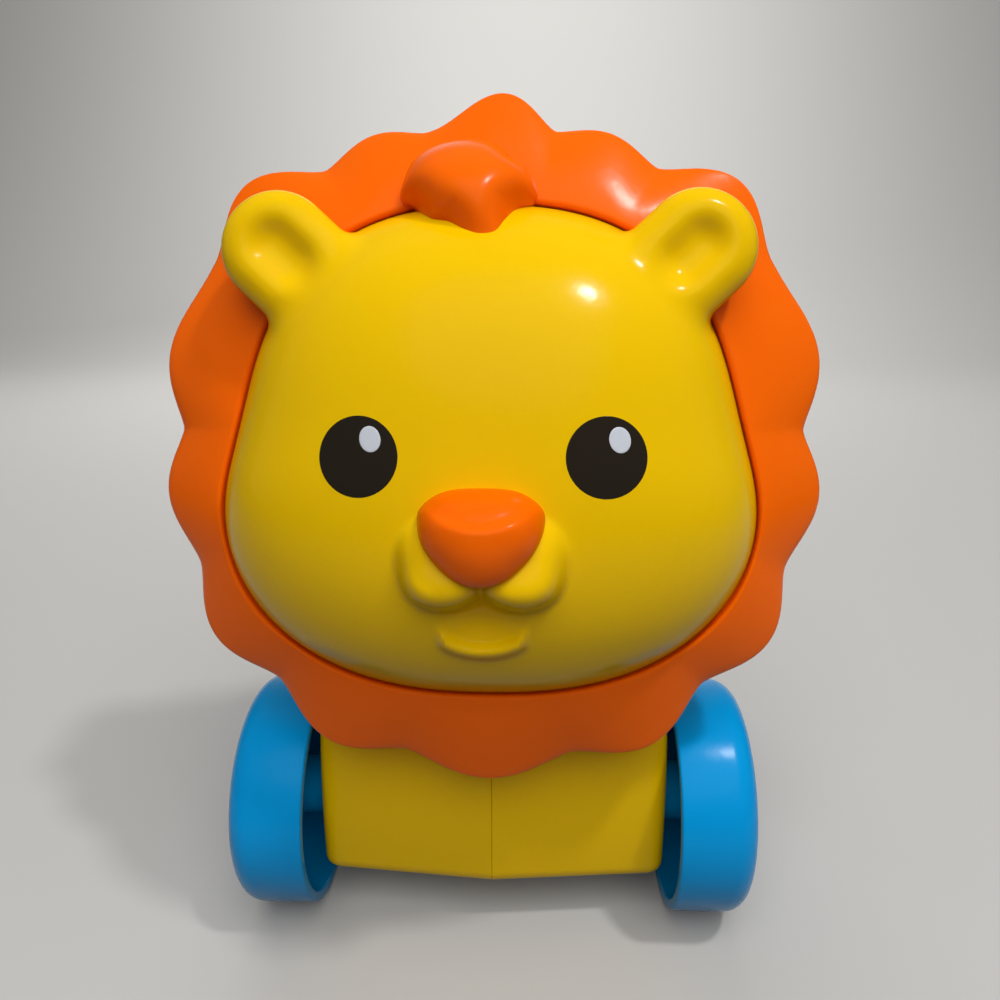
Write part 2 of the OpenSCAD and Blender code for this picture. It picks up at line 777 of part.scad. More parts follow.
module ear_section() {
    half = ear_t / 2;
    translate([0, -half]) square([ear_r - ear_edge, ear_t]);
    translate([0, ear_edge - half]) square([ear_r, ear_t - 2 * ear_edge]);
    for (z = [ear_edge - half, half - ear_edge]) translate([ear_r - ear_edge, z]) circle(ear_edge);
}

// An ear is a round-ended tab that runs into the face, with a long cup in its front
module ear(side) {
    inward = atan2(ear_at[1], side * ear_at[0]) + 180;
    cup_z = ear_t / 2 + ear_cup_lift;
    translate([side * ear_at[0], ear_at[1], ear_n]) rotate([0, 0, inward]) difference() {
        union() {
            rotate_extrude() ear_section();
            rotate([90, 0, 90]) linear_extrude(ear_tab) {
                ear_section();
                mirror([1, 0, 0]) ear_section();
            }
        }
        translate([0, 0, cup_z]) sphere(ear_cup_r);
        translate([0, 0, cup_z]) rotate([0, 90, 0]) cylinder(r = ear_cup_r, h = ear_cup_l);
        translate([ear_cup_l, 0, cup_z]) sphere(ear_cup_r);
    }
}

// How deep a head screw goes into the face's post
function boss_top(at) =
    min([for (a = [0:30:330]) face_n(at[0] + boss_r * cos(a), at[1] + boss_r * sin(a))]) - head_wall / 2;
function head_screw_hold(at) = min(screw_bite, boss_top(at) - head_seam_n - head_wall / 2) - bite;

module face_shell() color(yellow) in_head() {
    difference() {
        union() {
            face_dome();
            for (side = [-1, 1]) ear(side);
            for (at = head_screw_at) translate([at[0], at[1], head_seam_n])
                cylinder(r = boss_r, h = boss_top(at) - head_seam_n);
        }
        for (at = head_screw_at) translate([at[0], at[1], head_seam_n - bite])
            cylinder(r = screw_r, h = head_screw_hold(at) + 2 * bite);
        translate([nose_at[0], nose_at[1], 0]) cylinder(r = nose_peg_r, h = far);
    }
}

// Mane: a scalloped ring of channel section, open at the back
function mane_section(a) =
    let (
        i = opening_r(a), o = mane_r(a), w = head_wall,
        front = [for (t = [0.08, 0.3, 0.55, 0.75, 0.9, 0.975]) [mix(i, o, t), mane_n(mix(i, o, t), a)]],
        profile = concat(
            [[i, -mane_depth], [i, mane_crown * mane_edge]],
            front,
            [[o, 0], [o - mane_draft / 2, -mane_depth / 2], [o - mane_draft, -mane_depth]],
            [
                [o - mane_draft - w, -mane_depth], [o - mane_draft - w, -w / 2],
                [mix(i, o, 0.6), mane_n(mix(i, o, 0.6), a) - w],
                [i + w, mane_crown * mane_edge - w / 2], [i + w, -mane_depth]
            ]
        )
    )
    [for (p = profile) [p[0] * sin(a), p[0] * cos(a), p[1]]];
module mane() color(orange) in_head() {
    difference() {
        loft([for (j = [0:mane_steps - 1]) mane_section(360 * j / mane_steps)], true);
        for (at = forelock_peg_at) translate([at[0], at[1], 0]) cylinder(r = forelock_peg_r, h = far);
    }
}

// Back of the head: a flange that closes the mane, a round back, screw posts and the neck's socket
module back_dome(inset) {
    steps = 14;
    r = back_r - inset;
    d = back_depth - inset;
    translate([0, 0, -mane_depth - head_wall]) mirror([0, 0, 1]) rotate_extrude() polygon([
        [0, -head_wall / 2], [r, -head_wall / 2],
        for (k = [0:steps]) let (s = sin(90 * k / steps))
            [r * pow(1 - pow(s, back_power), 1 / back_power), d * s]
    ]);
}

module head_back_shell() color(orange) {
    seat = -mane_depth;
    difference() {
        union() {
            in_head() {
                difference() {
                    union() {
                        translate([0, 0, seat - head_wall]) linear_extrude(head_wall) polygon([
                            for (j = [0:mane_steps - 1])
                                let (a = 360 * j / mane_steps, r = mane_r(a) - flange_inset)
                                [r * sin(a), r * cos(a)]
                        ]);
                        back_dome(0);
                    }
                    back_dome(head_wall);
                    translate([0, 0, seat - head_wall - bite]) cylinder(r = back_r - head_wall, h = far);
                }
                for (at = head_screw_at) intersection() {
                    translate([at[0], at[1], -far]) cylinder(r = boss_r, h = far + head_seam_n);
                    union() {
                        back_dome(head_wall / 2);
                        translate([0, 0, seat - head_wall]) cylinder(r = back_r, h = far);
                    }
                }
            }
            upright(socket_z, neck_top + socket_cap, neck_r + socket_wall);
        }
        in_head() for (at = head_screw_at) translate([at[0], at[1], 0]) {
            translate([0, 0, -far]) cylinder(r = screw_r + hole_gap, h = 2 * far);
            translate([0, 0, -far]) cylinder(r = screw_head_r + head_gap, h = far + head_screw_n);
        }
        upright(0, neck_top, neck_r);
        upright(0, neck_top + socket_cap + bite, screw_r + hole_gap);
    }
}

module head_screws() color(steel) in_head() {
    for (at = head_screw_at) translate([at[0], at[1], head_screw_n])
        screw(head_seam_n - head_screw_n + head_screw_hold(at));
}

// A closed smooth curve through a few points
function loop_at(points, t) =
    let (
        k = len(points), i = floor(t), f = t - i,
        a = points[(i + k - 1) % k], b = points[i % k], c = points[(i + 1) % k], d = points[(i + 2) % k]
    )
    b + (c - a) * f / 2 + (2 * a - 5 * b + 4 * c - d) * f * f / 2 + (3 * b - a - 3 * c + d) * f * f * f / 2;
function smooth_loop(points, steps) =
    [for (j = [0:steps - 1]) loop_at(points, j * len(points) / steps)];
function ring(middle, r, steps) =
    [for (j = [0:steps - 1]) middle + r * [sin(360 * j / steps), cos(360 * j / steps)]];

// A trim piece: its back follows the surface under it, and its front is a function of the place
// and of the share of the way from its middle to its outline
module pad(middle, outline, rings, back, front) {
    function at(s, p) = middle + s * (p - middle);
    function sheet(side) = [
        let (p = middle) [p[0], p[1], side(p, 0)],
        for (k = [1:rings]) let (s = sin(90 * k / rings))
            [for (q = outline) let (p = at(s, q)) [p[0], p[1], side(p, s)]]
    ];
    lens(sheet(front), sheet(back), len(outline));
}

// Nose: a rounded triangle, flat-topped, on a peg; its right half, as shares of its half width,
// of its rise and of its drop
nose_half = [[0, 1], [0.55, 0.93], [0.91, 0.61], [1, 0.2], [0.8, -0.365], [0.4, -0.85], [0, -1]];
function nose_point(p, side) =
    nose_at + [side * p[0] * nose_half_w, p[1] * (p[1] > 0 ? nose_up : nose_down)];
nose_points = concat(
    [for (p = nose_half) nose_point(p, 1)],
    [for (i = [len(nose_half) - 2:-1:1]) nose_point(nose_half[i], -1)]
);
nose_back = function (p, s) face_n(p[0], p[1]) + trim_gap;
nose_front = function (p, s)
    mix(nose_back(p, s) + trim_edge, nose_n + nose_h, sqrt(1 - pow(s, nose_power)));

module nose() color(orange) in_head() {
    low = face_n(nose_at[0], nose_at[1]) - head_wall - peg_l;
    pad(nose_at, smooth_loop(nose_points, 48), 8, nose_back, nose_front);
    translate([nose_at[0], nose_at[1], low])
        cylinder(r = nose_peg_r, h = head_wall + peg_l + trim_gap + bite);
}

// Forelock: a lopsided tuft that lies over the mane and the top of the face, on two pegs;
// its outline is measured from the top of the face
forelock_outline = [
    [-14.6, -0.4], [-14.6, 2.4], [-13.2, 6.6], [-9.7, 9.3], [-4.6, 10.8], [0.1, 10.4], [2.9, 8.6],
    [4.6, 6.5], [7, 4.8], [8.2, 1.6], [7.6, -0.8], [4.8, -3.2], [3.3, -6], [1.8, -8.5], [-1.2, -8.9],
    [-4, -7.7], [-6.2, -6.2], [-9, -5.2], [-12.2, -1.8]
];
forelock_points = [for (p = forelock_outline) p + [0, face_top]];
over_head = function (p)
    let (a = atan2(p[0], p[1]))
    max(face_n(p[0], p[1]), mane_n(max(norm(p), opening_r(a)), a));
forelock_back = function (p, s) over_head(p) + trim_gap;
forelock_crest = function (p)
    forelock_n + forelock_h - forelock_slope * (p[1] - forelock_at[1])
        - forelock_sag * pow(p[0] - forelock_at[0], 2);
forelock_front = function (p, s)
    mix(forelock_back(p, s) + trim_edge, forelock_crest(p), sqrt(1 - pow(s, forelock_power)));

module forelock() color(orange) in_head() {
    pad(forelock_at, smooth_loop(forelock_points, 66), 14, forelock_back, forelock_front);
    for (at = forelock_peg_at) translate([at[0], at[1], mane_crown - head_wall - peg_l])
        cylinder(r = forelock_peg_r, h = head_wall + peg_l + trim_gap + 2 * bite);
}

// Eyes: a dark print film with a pale glint over it
eye_back = function (p, s) face_n(p[0], p[1]) + eye_gap;
eye_front = function (p, s) eye_back(p, s) + print_t;
glint_back = function (p, s) eye_front(p, s) + eye_gap / 2;
glint_front = function (p, s) glint_back(p, s) + print_t;

module eye_prints() color(black) in_head() {
    for (side = [-1, 1]) let (at = [side * eye_at[0], eye_at[1]])
        pad(at, ring(at, eye_r, 36), 4, eye_back, eye_front);
}
module eye_glints() color(pale_grey) in_head() {
    for (side = [-1, 1]) let (at = [side * eye_at[0], eye_at[1]] + glint_at)
        pad(at, ring(at, glint_r, 24), 2, glint_back, glint_front);
}

body_left_shell();
body_right_shell();
axle_bushes();
body_screws();
layshaft();
return_spring();
face_shell();
mane();
head_back_shell();
forelock();
nose();
eye_prints();
eye_glints();
head_screws();
neck_post();
neck_screw();
front_axle();
front_left_wheel();
front_right_wheel();
rear_axle();
rear_left_wheel();
rear_right_wheel();
axle_gear();
clutch_pinion();
drive_gear();
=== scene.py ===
"""Looks of a press-and-go lion: a toddler push toy of glossy moulded plastic on four wheels.

Forms are written in millimetres. The head's pieces are shaped in the head's own leaning frame, whose
axes run across the face, up the face and out of it. A piece becomes metres in the toy's frame when its
mesh is placed.
"""

import json
import logging
import math
from dataclasses import dataclass, field
from enum import Enum
from typing import Callable

import bmesh
import bpy
import numpy as np
from mathutils import Matrix, Vector

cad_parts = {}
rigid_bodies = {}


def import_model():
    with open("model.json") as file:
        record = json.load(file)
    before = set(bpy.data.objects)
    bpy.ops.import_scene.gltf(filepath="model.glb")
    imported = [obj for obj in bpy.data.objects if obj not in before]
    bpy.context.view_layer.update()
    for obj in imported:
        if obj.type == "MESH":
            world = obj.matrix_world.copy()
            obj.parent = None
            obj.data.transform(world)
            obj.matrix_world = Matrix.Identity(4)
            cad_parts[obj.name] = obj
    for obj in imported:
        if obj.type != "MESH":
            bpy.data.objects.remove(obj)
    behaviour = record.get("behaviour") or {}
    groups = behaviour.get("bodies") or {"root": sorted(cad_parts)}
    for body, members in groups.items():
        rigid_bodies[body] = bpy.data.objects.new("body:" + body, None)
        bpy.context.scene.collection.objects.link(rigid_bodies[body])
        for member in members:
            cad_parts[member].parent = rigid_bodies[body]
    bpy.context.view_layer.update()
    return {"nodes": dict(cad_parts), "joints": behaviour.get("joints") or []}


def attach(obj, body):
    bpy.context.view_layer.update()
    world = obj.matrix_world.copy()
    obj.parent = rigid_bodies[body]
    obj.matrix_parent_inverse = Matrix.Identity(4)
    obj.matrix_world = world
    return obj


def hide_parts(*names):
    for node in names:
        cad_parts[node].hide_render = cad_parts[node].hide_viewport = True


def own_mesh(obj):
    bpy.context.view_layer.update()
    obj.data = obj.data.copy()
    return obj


LOG = logging.getLogger("lion")
MM = 0.001
SHARP_ANGLE = math.radians(38.0)
PEEL_DEPTH = 0.02 * MM
LINE_DEPTH = 0.03 * MM

Array = np.ndarray
Surface = Callable[[Array], Array]
Height = Callable[[Array, Array, Array], Array]
Colour = tuple[float, float, float]


class Side(Enum):
    """A side of the toy, seen from the camera."""

    LEFT = -1
    RIGHT = 1


class Axle(Enum):
    """An axle of the toy, by the name of its wheels."""

    FRONT = "front"
    REAR = "rear"


def ease(share: Array) -> Array:
    """Returns a smooth step from 0 to 1 as share goes from 0 to 1."""
    held = np.clip(share, 0.0, 1.0)
    return held * held * (3.0 - 2.0 * held)


def swell(share: Array) -> Array:
    """Returns a smooth swelling, 1 in the middle where share is 0, that ends where share is 1."""
    return (1.0 - np.minimum(share, 1.0) ** 2) ** 2


def joined(first: Array, second: Array, fillet: float | Array) -> Array:
    """Joins two distance values with a fillet of about that radius.

    Args:
        first: Distances to one form.
        second: Distances to the other form.
        fillet: Radius of the blend, in millimetres.

    Returns:
        Distances to the joined form.
    """
    share = np.clip(0.5 + 0.5 * (second - first) / fillet, 0.0, 1.0)
    return second + (first - second) * share - fillet * share * (1.0 - share)


def shared(first: Array, second: Array, fillet: float) -> Array:
    """Returns distances to what two forms share, with its edges rounded by the fillet."""
    return -joined(-first, -second, fillet)


def turned_to(x: Array, y: Array) -> Array:
    """Returns angles in degrees, where 0 is straight up and 90 points across to the right."""
    return np.degrees(np.arctan2(x, y))


def closed_curve(points: list[tuple[float, float]], steps: int) -> Array:
    """Returns places along a smooth closed curve through a few points.

    Args:
        points: The points that the curve goes through, in order.
        steps: How many places lie between one point and the next.

    Returns:
        One row of two numbers per place.
    """
    knots = np.array(points)
    share = np.linspace(0.0, 1.0, steps, endpoint=False)[:, None]
    spans = []
    for index in range(len(knots)):
        a, b, c, d = (knots[(index + shift) % len(knots)] for shift in (-1, 0, 1, 2))
        bend = (2 * a - 5 * b + 4 * c - d) * share**2 + (3 * b - a - 3 * c + d) * share**3
        spans.append(b + ((c - a) * share + bend) / 2)
    return np.vstack(spans)


def filleted(corners: list[tuple[float, float, float]], steps: int = 6) -> list[tuple[float, float]]:
    """Rounds the corners of an open outline.

    Args:
        corners: Each corner's two places and its radius, where 0 keeps it sharp.
        steps: How many straight steps an arc takes.

    Returns:
        The rounded outline's points.
    """
    outline = []
    for index, (x, y, radius) in enumerate(corners):
        corner = Vector((x, y))
        if radius <= 0 or index in (0, len(corners) - 1):
            outline.append((x, y))
            continue
        before = (Vector(corners[index - 1][:2]) - corner).normalized()
        after = (Vector(corners[index + 1][:2]) - corner).normalized()
        half = before.angle(after) / 2
        middle = corner + (before + after).normalized() * radius / math.sin(half)
        start = corner + before * radius / math.tan(half) - middle
        end = corner + after * radius / math.tan(half) - middle
        for step in range(steps + 1):
            spoke = start.slerp(end, step / steps) * radius
            outline.append(tuple(middle + spoke))
    return outline


def pulled(points: Array, surface: Surface, rounds: int) -> Array:
    """Draws points along the slope of a distance field onto its surface.

    Args:
        points: Rows of x, y and z.
        surface: The field, which is 0 on the surface.
        rounds: How many times each point is drawn.

    Returns:
        The points on the surface.
    """
    step, longest = 0.02, 1.5
    for _ in range(rounds):
        slope = np.stack(
            [surface(points + way) - surface(points - way) for way in np.eye(3) * step], axis=1
        ) / (2 * step)
        steep = np.maximum((slope**2).sum(axis=1), 1e-6)
        move = slope * (surface(points) / steep)[:, None]
        length = np.linalg.norm(move, axis=1, keepdims=True)
        points = points - move * np.minimum(1.0, longest / np.maximum(length, 1e-9))
    return points


def corners_of(mesh: bpy.types.Mesh) -> Array:
    """Reads the places of a mesh's vertices.

    Args:
        mesh: The mesh.

    Returns:
        Rows of x, y and z.
    """
    flat = np.empty(len(mesh.vertices) * 3)
    mesh.vertices.foreach_get("co", flat)
    return flat.reshape(-1, 3)


def set_corners(mesh: bpy.types.Mesh, points: Array) -> None:
    """Gives a mesh's vertices new places."""
    mesh.vertices.foreach_set("co", points.ravel())
    mesh.update()


def skin_over(name: str, rough: bmesh.types.BMesh, surface: Surface, voxel: float) -> bpy.types.Mesh:
    """Grows one closed skin over rough overlapping forms and draws it onto the true surface.

    Args:
        name: Name of the mesh.
        rough: The overlapping closed forms, which are used up.
        surface: Distance field of the true surface.
        voxel: Size of the skin's cells, in millimetres.

    Returns:
        A mesh of even quads on the surface.
    """
    first_rounds, relaxings, later_rounds = 4, 3, 2
    draft = bpy.data.meshes.new(name + "_draft")
    rough.to_mesh(draft)
    rough.free()
    holder = bpy.data.objects.new(name + "_draft", draft)
    bpy.context.scene.collection.objects.link(holder)
    remesh = holder.modifiers.new("even skin", "REMESH")
    remesh.mode = "VOXEL"
    remesh.voxel_size = voxel
    graph = bpy.context.evaluated_depsgraph_get()
    skin = bpy.data.meshes.new_from_object(holder.evaluated_get(graph))
    bpy.data.objects.remove(holder)
    bpy.data.meshes.remove(draft)
    skin.name = name
    set_corners(skin, pulled(corners_of(skin), surface, first_rounds))
    for _ in range(relaxings):
        relaxed = bmesh.new()
        relaxed.from_mesh(skin)
        bmesh.ops.smooth_vert(
            relaxed, verts=relaxed.verts, factor=0.5, use_axis_x=True, use_axis_y=True, use_axis_z=True
        )
        relaxed.to_mesh(skin)
        relaxed.free()
        set_corners(skin, pulled(corners_of(skin), surface, later_rounds))
    return skin


def mesh_of(name: str, made: bmesh.types.BMesh) -> bpy.types.Mesh:
    """Turns a finished bmesh into a mesh whose faces point outwards.

    Args:
        name: Name of the mesh.
        made: The bmesh, which is used up.

    Returns:
        The mesh.
    """
    bmesh.ops.recalc_face_normals(made, faces=made.faces)
    closed = not any(edge.is_boundary for edge in made.edges)
    if closed and made.calc_volume(signed=True) < 0.0:
        bmesh.ops.reverse_faces(made, faces=made.faces)
    mesh = bpy.data.meshes.new(name)
    made.to_mesh(mesh)
    made.free()
    return mesh


def spun(outline: list[tuple[float, float]], steps: int, closed: bool = True) -> bmesh.types.BMesh:
    """Spins an outline once round the z axis.

    Args:
        outline: Points as distance from the axis and place along it.
        steps: How many steps the turn takes.
        closed: Whether the outline's last point joins its first.

    Returns:
        The spun shape.
    """
    made = bmesh.new()
    row = [made.verts.new((r, 0.0, z)) for r, z in outline]
    pairs = list(zip(row, row[1:]))
    if closed:
        pairs.append((row[-1], row[0]))
    edges = [made.edges.new(pair) for pair in pairs]
    bmesh.ops.spin(
        made, geom=row + edges, cent=(0, 0, 0), axis=(0, 0, 1), dvec=(0, 0, 0),
        angle=math.tau, steps=steps, use_merge=True, use_normal_flip=False, use_duplicate=False,
    )
    bmesh.ops.remove_doubles(made, verts=made.verts, dist=1e-5)
    return made


def rod(
    made: bmesh.types.BMesh, radius: float, length: float, sides: int, place: Matrix
) -> list[bmesh.types.BMVert]:
    """Adds a closed round rod.

    Args:
        made: The bmesh that gets the rod.
        radius: Its radius.
        length: Its length.
        sides: How many flat sides its round has.
        place: Where its middle goes, and how its length is turned from the z axis.

    Returns:
        The rod's vertices.
    """
    return bmesh.ops.create_cone(
        made, cap_ends=True, segments=sides, radius1=radius, radius2=radius, depth=length, matrix=place
    )["verts"]


@dataclass(frozen=True)
class HeadPlace:
    """Where the head's own frame sits in the toy: the middle of the mane's rim, and its lean."""

    y: float = -25.0
    z: float = 102.342
    lean: float = 15.0

    def middle(self) -> Vector:
        """Returns the middle of the mane's rim in the toy, in millimetres."""
        return Vector((0.0, self.y, self.z))

    def turn(self) -> Matrix:
        """Returns the turn from the head's axes to the toy's."""
        return Matrix.Rotation(math.radians(90.0 - self.lean), 3, "X")

    def matrix(self) -> Matrix:
        """Returns the move from the head's millimetres to the toy's metres."""
        return Matrix.Scale(MM, 4) @ Matrix.Translation(self.middle()) @ self.turn().to_4x4()

    def in_toy(self, points: Array) -> Array:
        """Returns places in the head as places in the toy, both in millimetres."""
        return points @ np.array(self.turn()).T + np.array(self.middle())

    def in_head(self, points: Array) -> Array:
        """Returns places in the toy as places in the head, both in millimetres."""
        return (points - np.array(self.middle())) @ np.array(self.turn())


@dataclass
class Skin:
    """A shader node group in the making, with its inputs and outputs by name."""

    name: str
    tree: bpy.types.NodeTree = field(init=False)
    given: bpy.types.Node = field(init=False)
    result: bpy.types.Node = field(init=False)

    def start(self, inputs: dict[str, str], outputs: dict[str, str]) -> None:
        """Makes the group and its sockets.

        Args:
            inputs: Each input's name and kind of socket.
            outputs: Each output's name and kind of socket.
        """
        self.tree = bpy.data.node_groups.new(self.name, "ShaderNodeTree")
        for way, sockets in (("INPUT", inputs), ("OUTPUT", outputs)):
            for name, kind in sockets.items():
                self.tree.interface.new_socket(name, in_out=way, socket_type="NodeSocket" + kind)
        self.given = self.tree.nodes.new("NodeGroupInput")
        self.result = self.tree.nodes.new("NodeGroupOutput")

    def node(self, kind: str, **settings: object) -> bpy.types.Node:
        """Adds a node to the group.

        Args:
            kind: The node's kind, without the prefix of all shader nodes.
            settings: Values of the node's own settings, by name.

        Returns:
            The node.
        """
        made = self.tree.nodes.new("ShaderNode" + kind)
        for name, value in settings.items():
            setattr(made, name, value)
        return made

    def join(self, source: bpy.types.NodeSocket, target: bpy.types.NodeSocket) -> None:
        """Links one socket to another."""
        self.tree.links.new(source, target)

    def noise(self, place: bpy.types.NodeSocket, scale: float, detail: float) -> bpy.types.NodeSocket:
        """Returns the value of a noise over the surface.

        Args:
            place: Where on the surface the noise is read.
            scale: Waves of the noise per metre.
            detail: How many finer waves lie on it.

        Returns:
            The socket that gives the noise, from 0 to 1.
        """
        made = self.node("TexNoise")
        made.inputs["Scale"].default_value = scale
        made.inputs["Detail"].default_value = detail
        self.join(place, made.inputs["Vector"])
        return made.outputs["Fac"]

    def sum(self, kind: str, first: object, second: object) -> bpy.types.NodeSocket:
        """Works out two values or sockets, such as their product.

        Args:
            kind: The math node's operation.
            first: A number or a socket.
            second: A number or a socket.

        Returns:
            The socket of the result.
        """
        made = self.node("Math", operation=kind)
        for socket, value in zip(made.inputs, (first, second)):
            if isinstance(value, bpy.types.NodeSocket):
                self.join(value, socket)
            else:
                socket.default_value = value
        return made.outputs["Value"]


def moulded_group() -> bpy.types.NodeTree:
    """Builds the skin of moulded plastic: faint flow marks, hazy gloss and a fine orange peel.

    Returns:
        The node group, which is built once.
    """
    name = "moulded skin"
    if name in bpy.data.node_groups:
        return bpy.data.node_groups[name]
    skin = Skin(name)
    skin.start(
        {"Place": "Vector", "Colour": "Color", "Shade": "Color", "Flow": "Float", "Gloss": "Float",
         "Haze": "Float", "Peel": "Float"},
        {"Colour": "Color", "Roughness": "Float", "Height": "Float"},
    )
    flow_part, speck_part, grit_part = 0.75, 0.25, 0.12
    given = skin.given.outputs
    place = given["Place"]
    flow = skin.noise(place, 28.0, 3.0)
    speck = skin.noise(place, 420.0, 2.0)
    flowing = skin.sum("MULTIPLY", flow, flow_part)
    cloudy = skin.sum("ADD", flowing, skin.sum("MULTIPLY", speck, speck_part))
    tint = skin.node("Mix", data_type="RGBA")
    skin.join(skin.sum("MULTIPLY", cloudy, given["Flow"]), tint.inputs["Factor"])
    skin.join(given["Colour"], tint.inputs["A"])
    skin.join(given["Shade"], tint.inputs["B"])
    skin.join(tint.outputs["Result"], skin.result.inputs["Colour"])
    smear = skin.noise(place, 75.0, 5.0)
    haze = skin.sum("MULTIPLY", skin.sum("SUBTRACT", smear, 0.5), given["Haze"])
    skin.join(skin.sum("ADD", given["Gloss"], haze), skin.result.inputs["Roughness"])
    peel = skin.noise(place, 520.0, 1.0)
    grit = skin.noise(place, 2600.0, 2.0)
    waves = skin.sum("ADD", peel, skin.sum("MULTIPLY", grit, grit_part))
    skin.join(skin.sum("MULTIPLY", waves, given["Peel"]), skin.result.inputs["Height"])
    return skin.tree


def drawn_group() -> bpy.types.NodeTree:
    """Builds the skin of drawn and plated steel: fine lines across the toy and dull patches.

    Returns:
        The node group, which is built once.
    """
    name = "drawn steel skin"
    if name in bpy.data.node_groups:
        return bpy.data.node_groups[name]
    skin = Skin(name)
    skin.start(
        {"Place": "Vector", "Colour": "Color", "Shade": "Color", "Gloss": "Float", "Lines": "Float"},
        {"Colour": "Color", "Roughness": "Float", "Height": "Float"},
    )
    stretch, patch_tint, patch_rough = (1.0, 30.0, 30.0), 0.6, 0.12
    given = skin.given.outputs
    drawn = skin.node("Mapping")
    drawn.inputs["Scale"].default_value = stretch
    skin.join(given["Place"], drawn.inputs["Vector"])
    lines = skin.noise(drawn.outputs["Vector"], 160.0, 4.0)
    patches = skin.noise(given["Place"], 220.0, 4.0)
    tint = skin.node("Mix", data_type="RGBA")
    skin.join(skin.sum("MULTIPLY", patches, patch_tint), tint.inputs["Factor"])
    skin.join(given["Colour"], tint.inputs["A"])
    skin.join(given["Shade"], tint.inputs["B"])
    skin.join(tint.outputs["Result"], skin.result.inputs["Colour"])
    rough = skin.sum("ADD", given["Gloss"], skin.sum("MULTIPLY", patches, patch_rough))
    skin.join(rough, skin.result.inputs["Roughness"])
    skin.join(skin.sum("MULTIPLY", lines, given["Lines"]), skin.result.inputs["Height"])
    return skin.tree


def linear(colour: Colour) -> tuple[float, float, float, float]:
    """Turns a colour as it is written for a screen into light.

    Args:
        colour: Red, green and blue from 0 to 255.

    Returns:
        The light of each, from 0 to 1, with a full alpha.
    """
    parts = [value / 255.0 for value in colour]
    light = [p / 12.92 if p <= 0.04045 else ((p + 0.055) / 1.055) ** 2.4 for p in parts]
    return (*light, 1.0)


def dressed(
    name: str, group: bpy.types.NodeTree, values: dict[str, object], bump: float
) -> tuple[bpy.types.Material, bpy.types.Node]:
    """Starts a material whose Principled shader takes its looks from a skin group.

    Args:
        name: Name of the material.
        group: The skin's node group.
        values: The group's inputs by name.
        bump: Depth of the bump at full height, in metres.

    Returns:
        The material and its Principled shader.
    """
    material = bpy.data.materials.new(name)
    material.use_nodes = True
    nodes, links = material.node_tree.nodes, material.node_tree.links
    shader = nodes["Principled BSDF"]
    where = nodes.new("ShaderNodeTexCoord")
    skin = nodes.new("ShaderNodeGroup")
    skin.node_tree = group
    links.new(where.outputs["Object"], skin.inputs["Place"])
    for socket, value in values.items():
        skin.inputs[socket].default_value = value
    relief = nodes.new("ShaderNodeBump")
    relief.inputs["Distance"].default_value = bump
    relief.inputs["Strength"].default_value = 1.0
    links.new(skin.outputs["Colour"], shader.inputs["Base Color"])
    links.new(skin.outputs["Roughness"], shader.inputs["Roughness"])
    links.new(skin.outputs["Height"], relief.inputs["Height"])
    links.new(relief.outputs["Normal"], shader.inputs["Normal"])
    return material, shader


@dataclass(frozen=True)
class Plastic:
    """A moulded plastic: its colour, the shade that its flow marks lean to, and its gloss."""

    name: str
    colour: Colour
    shade: Colour
    flow: float = 0.35
    gloss: float = 0.17
    haze: float = 0.06
    peel: float = 1.0
    shine: float = 0.14
    refraction: float = 1.5
    bleed: float = 0.0
    bleed_depth: float = 2.0
    bleed_reach: tuple[float, float, float] = (1.0, 0.4, 0.1)

    def material(self) -> bpy.types.Material:
        """Builds the material.

        Returns:
            The material, with light bleeding a little way under the surface where bleed says so.
        """
        values = {
            "Colour": linear(self.colour), "Shade": linear(self.shade), "Flow": self.flow,
            "Gloss": self.gloss, "Haze": self.haze, "Peel": self.peel,
        }
        material, shader = dressed(self.name, moulded_group(), values, PEEL_DEPTH)
        shader.inputs["IOR"].default_value = self.refraction
        shader.inputs["Specular IOR Level"].default_value = self.shine
        if self.bleed > 0:
            shader.inputs["Subsurface Weight"].default_value = self.bleed
            shader.inputs["Subsurface Radius"].default_value = self.bleed_reach
            shader.inputs["Subsurface Scale"].default_value = self.bleed_depth * MM
        return material


@dataclass(frozen=True)
class Steel:
    """A drawn and plated steel."""

    name: str
    colour: Colour
    shade: Colour
    gloss: float = 0.24

    def material(self) -> bpy.types.Material:
        """Builds the material.

        Returns:
            The material.
        """
        values = {
            "Colour": linear(self.colour), "Shade": linear(self.shade), "Gloss": self.gloss, "Lines": 1.0,
        }
        material, shader = dressed(self.name, drawn_group(), values, LINE_DEPTH)
        shader.inputs["Metallic"].default_value = 1.0
        return material


FINISHES = {
    "yellow_plastic": Plastic("yellow plastic", (240, 194, 0), (233, 182, 0), bleed=0.1),
    "orange_plastic": Plastic(
        "orange plastic", (250, 105, 0), (244, 92, 0), gloss=0.22, bleed=0.1,
        bleed_reach=(1.0, 0.25, 0.05),
    ),
    "blue_plastic": Plastic("blue plastic", (0, 154, 222), (0, 140, 210), gloss=0.22),
    "eye_print": Plastic("eye print", (36, 30, 22), (44, 37, 27), gloss=0.14, peel=0.6),
    "glint_print": Plastic("glint print", (206, 210, 218), (192, 198, 208), gloss=0.16, peel=0.6),
    "gear_plastic": Plastic("gear plastic", (226, 224, 214), (208, 205, 192), gloss=0.36, haze=0.12),
    "plated_steel": Steel("plated steel", (196, 197, 200), (150, 150, 154)),
}


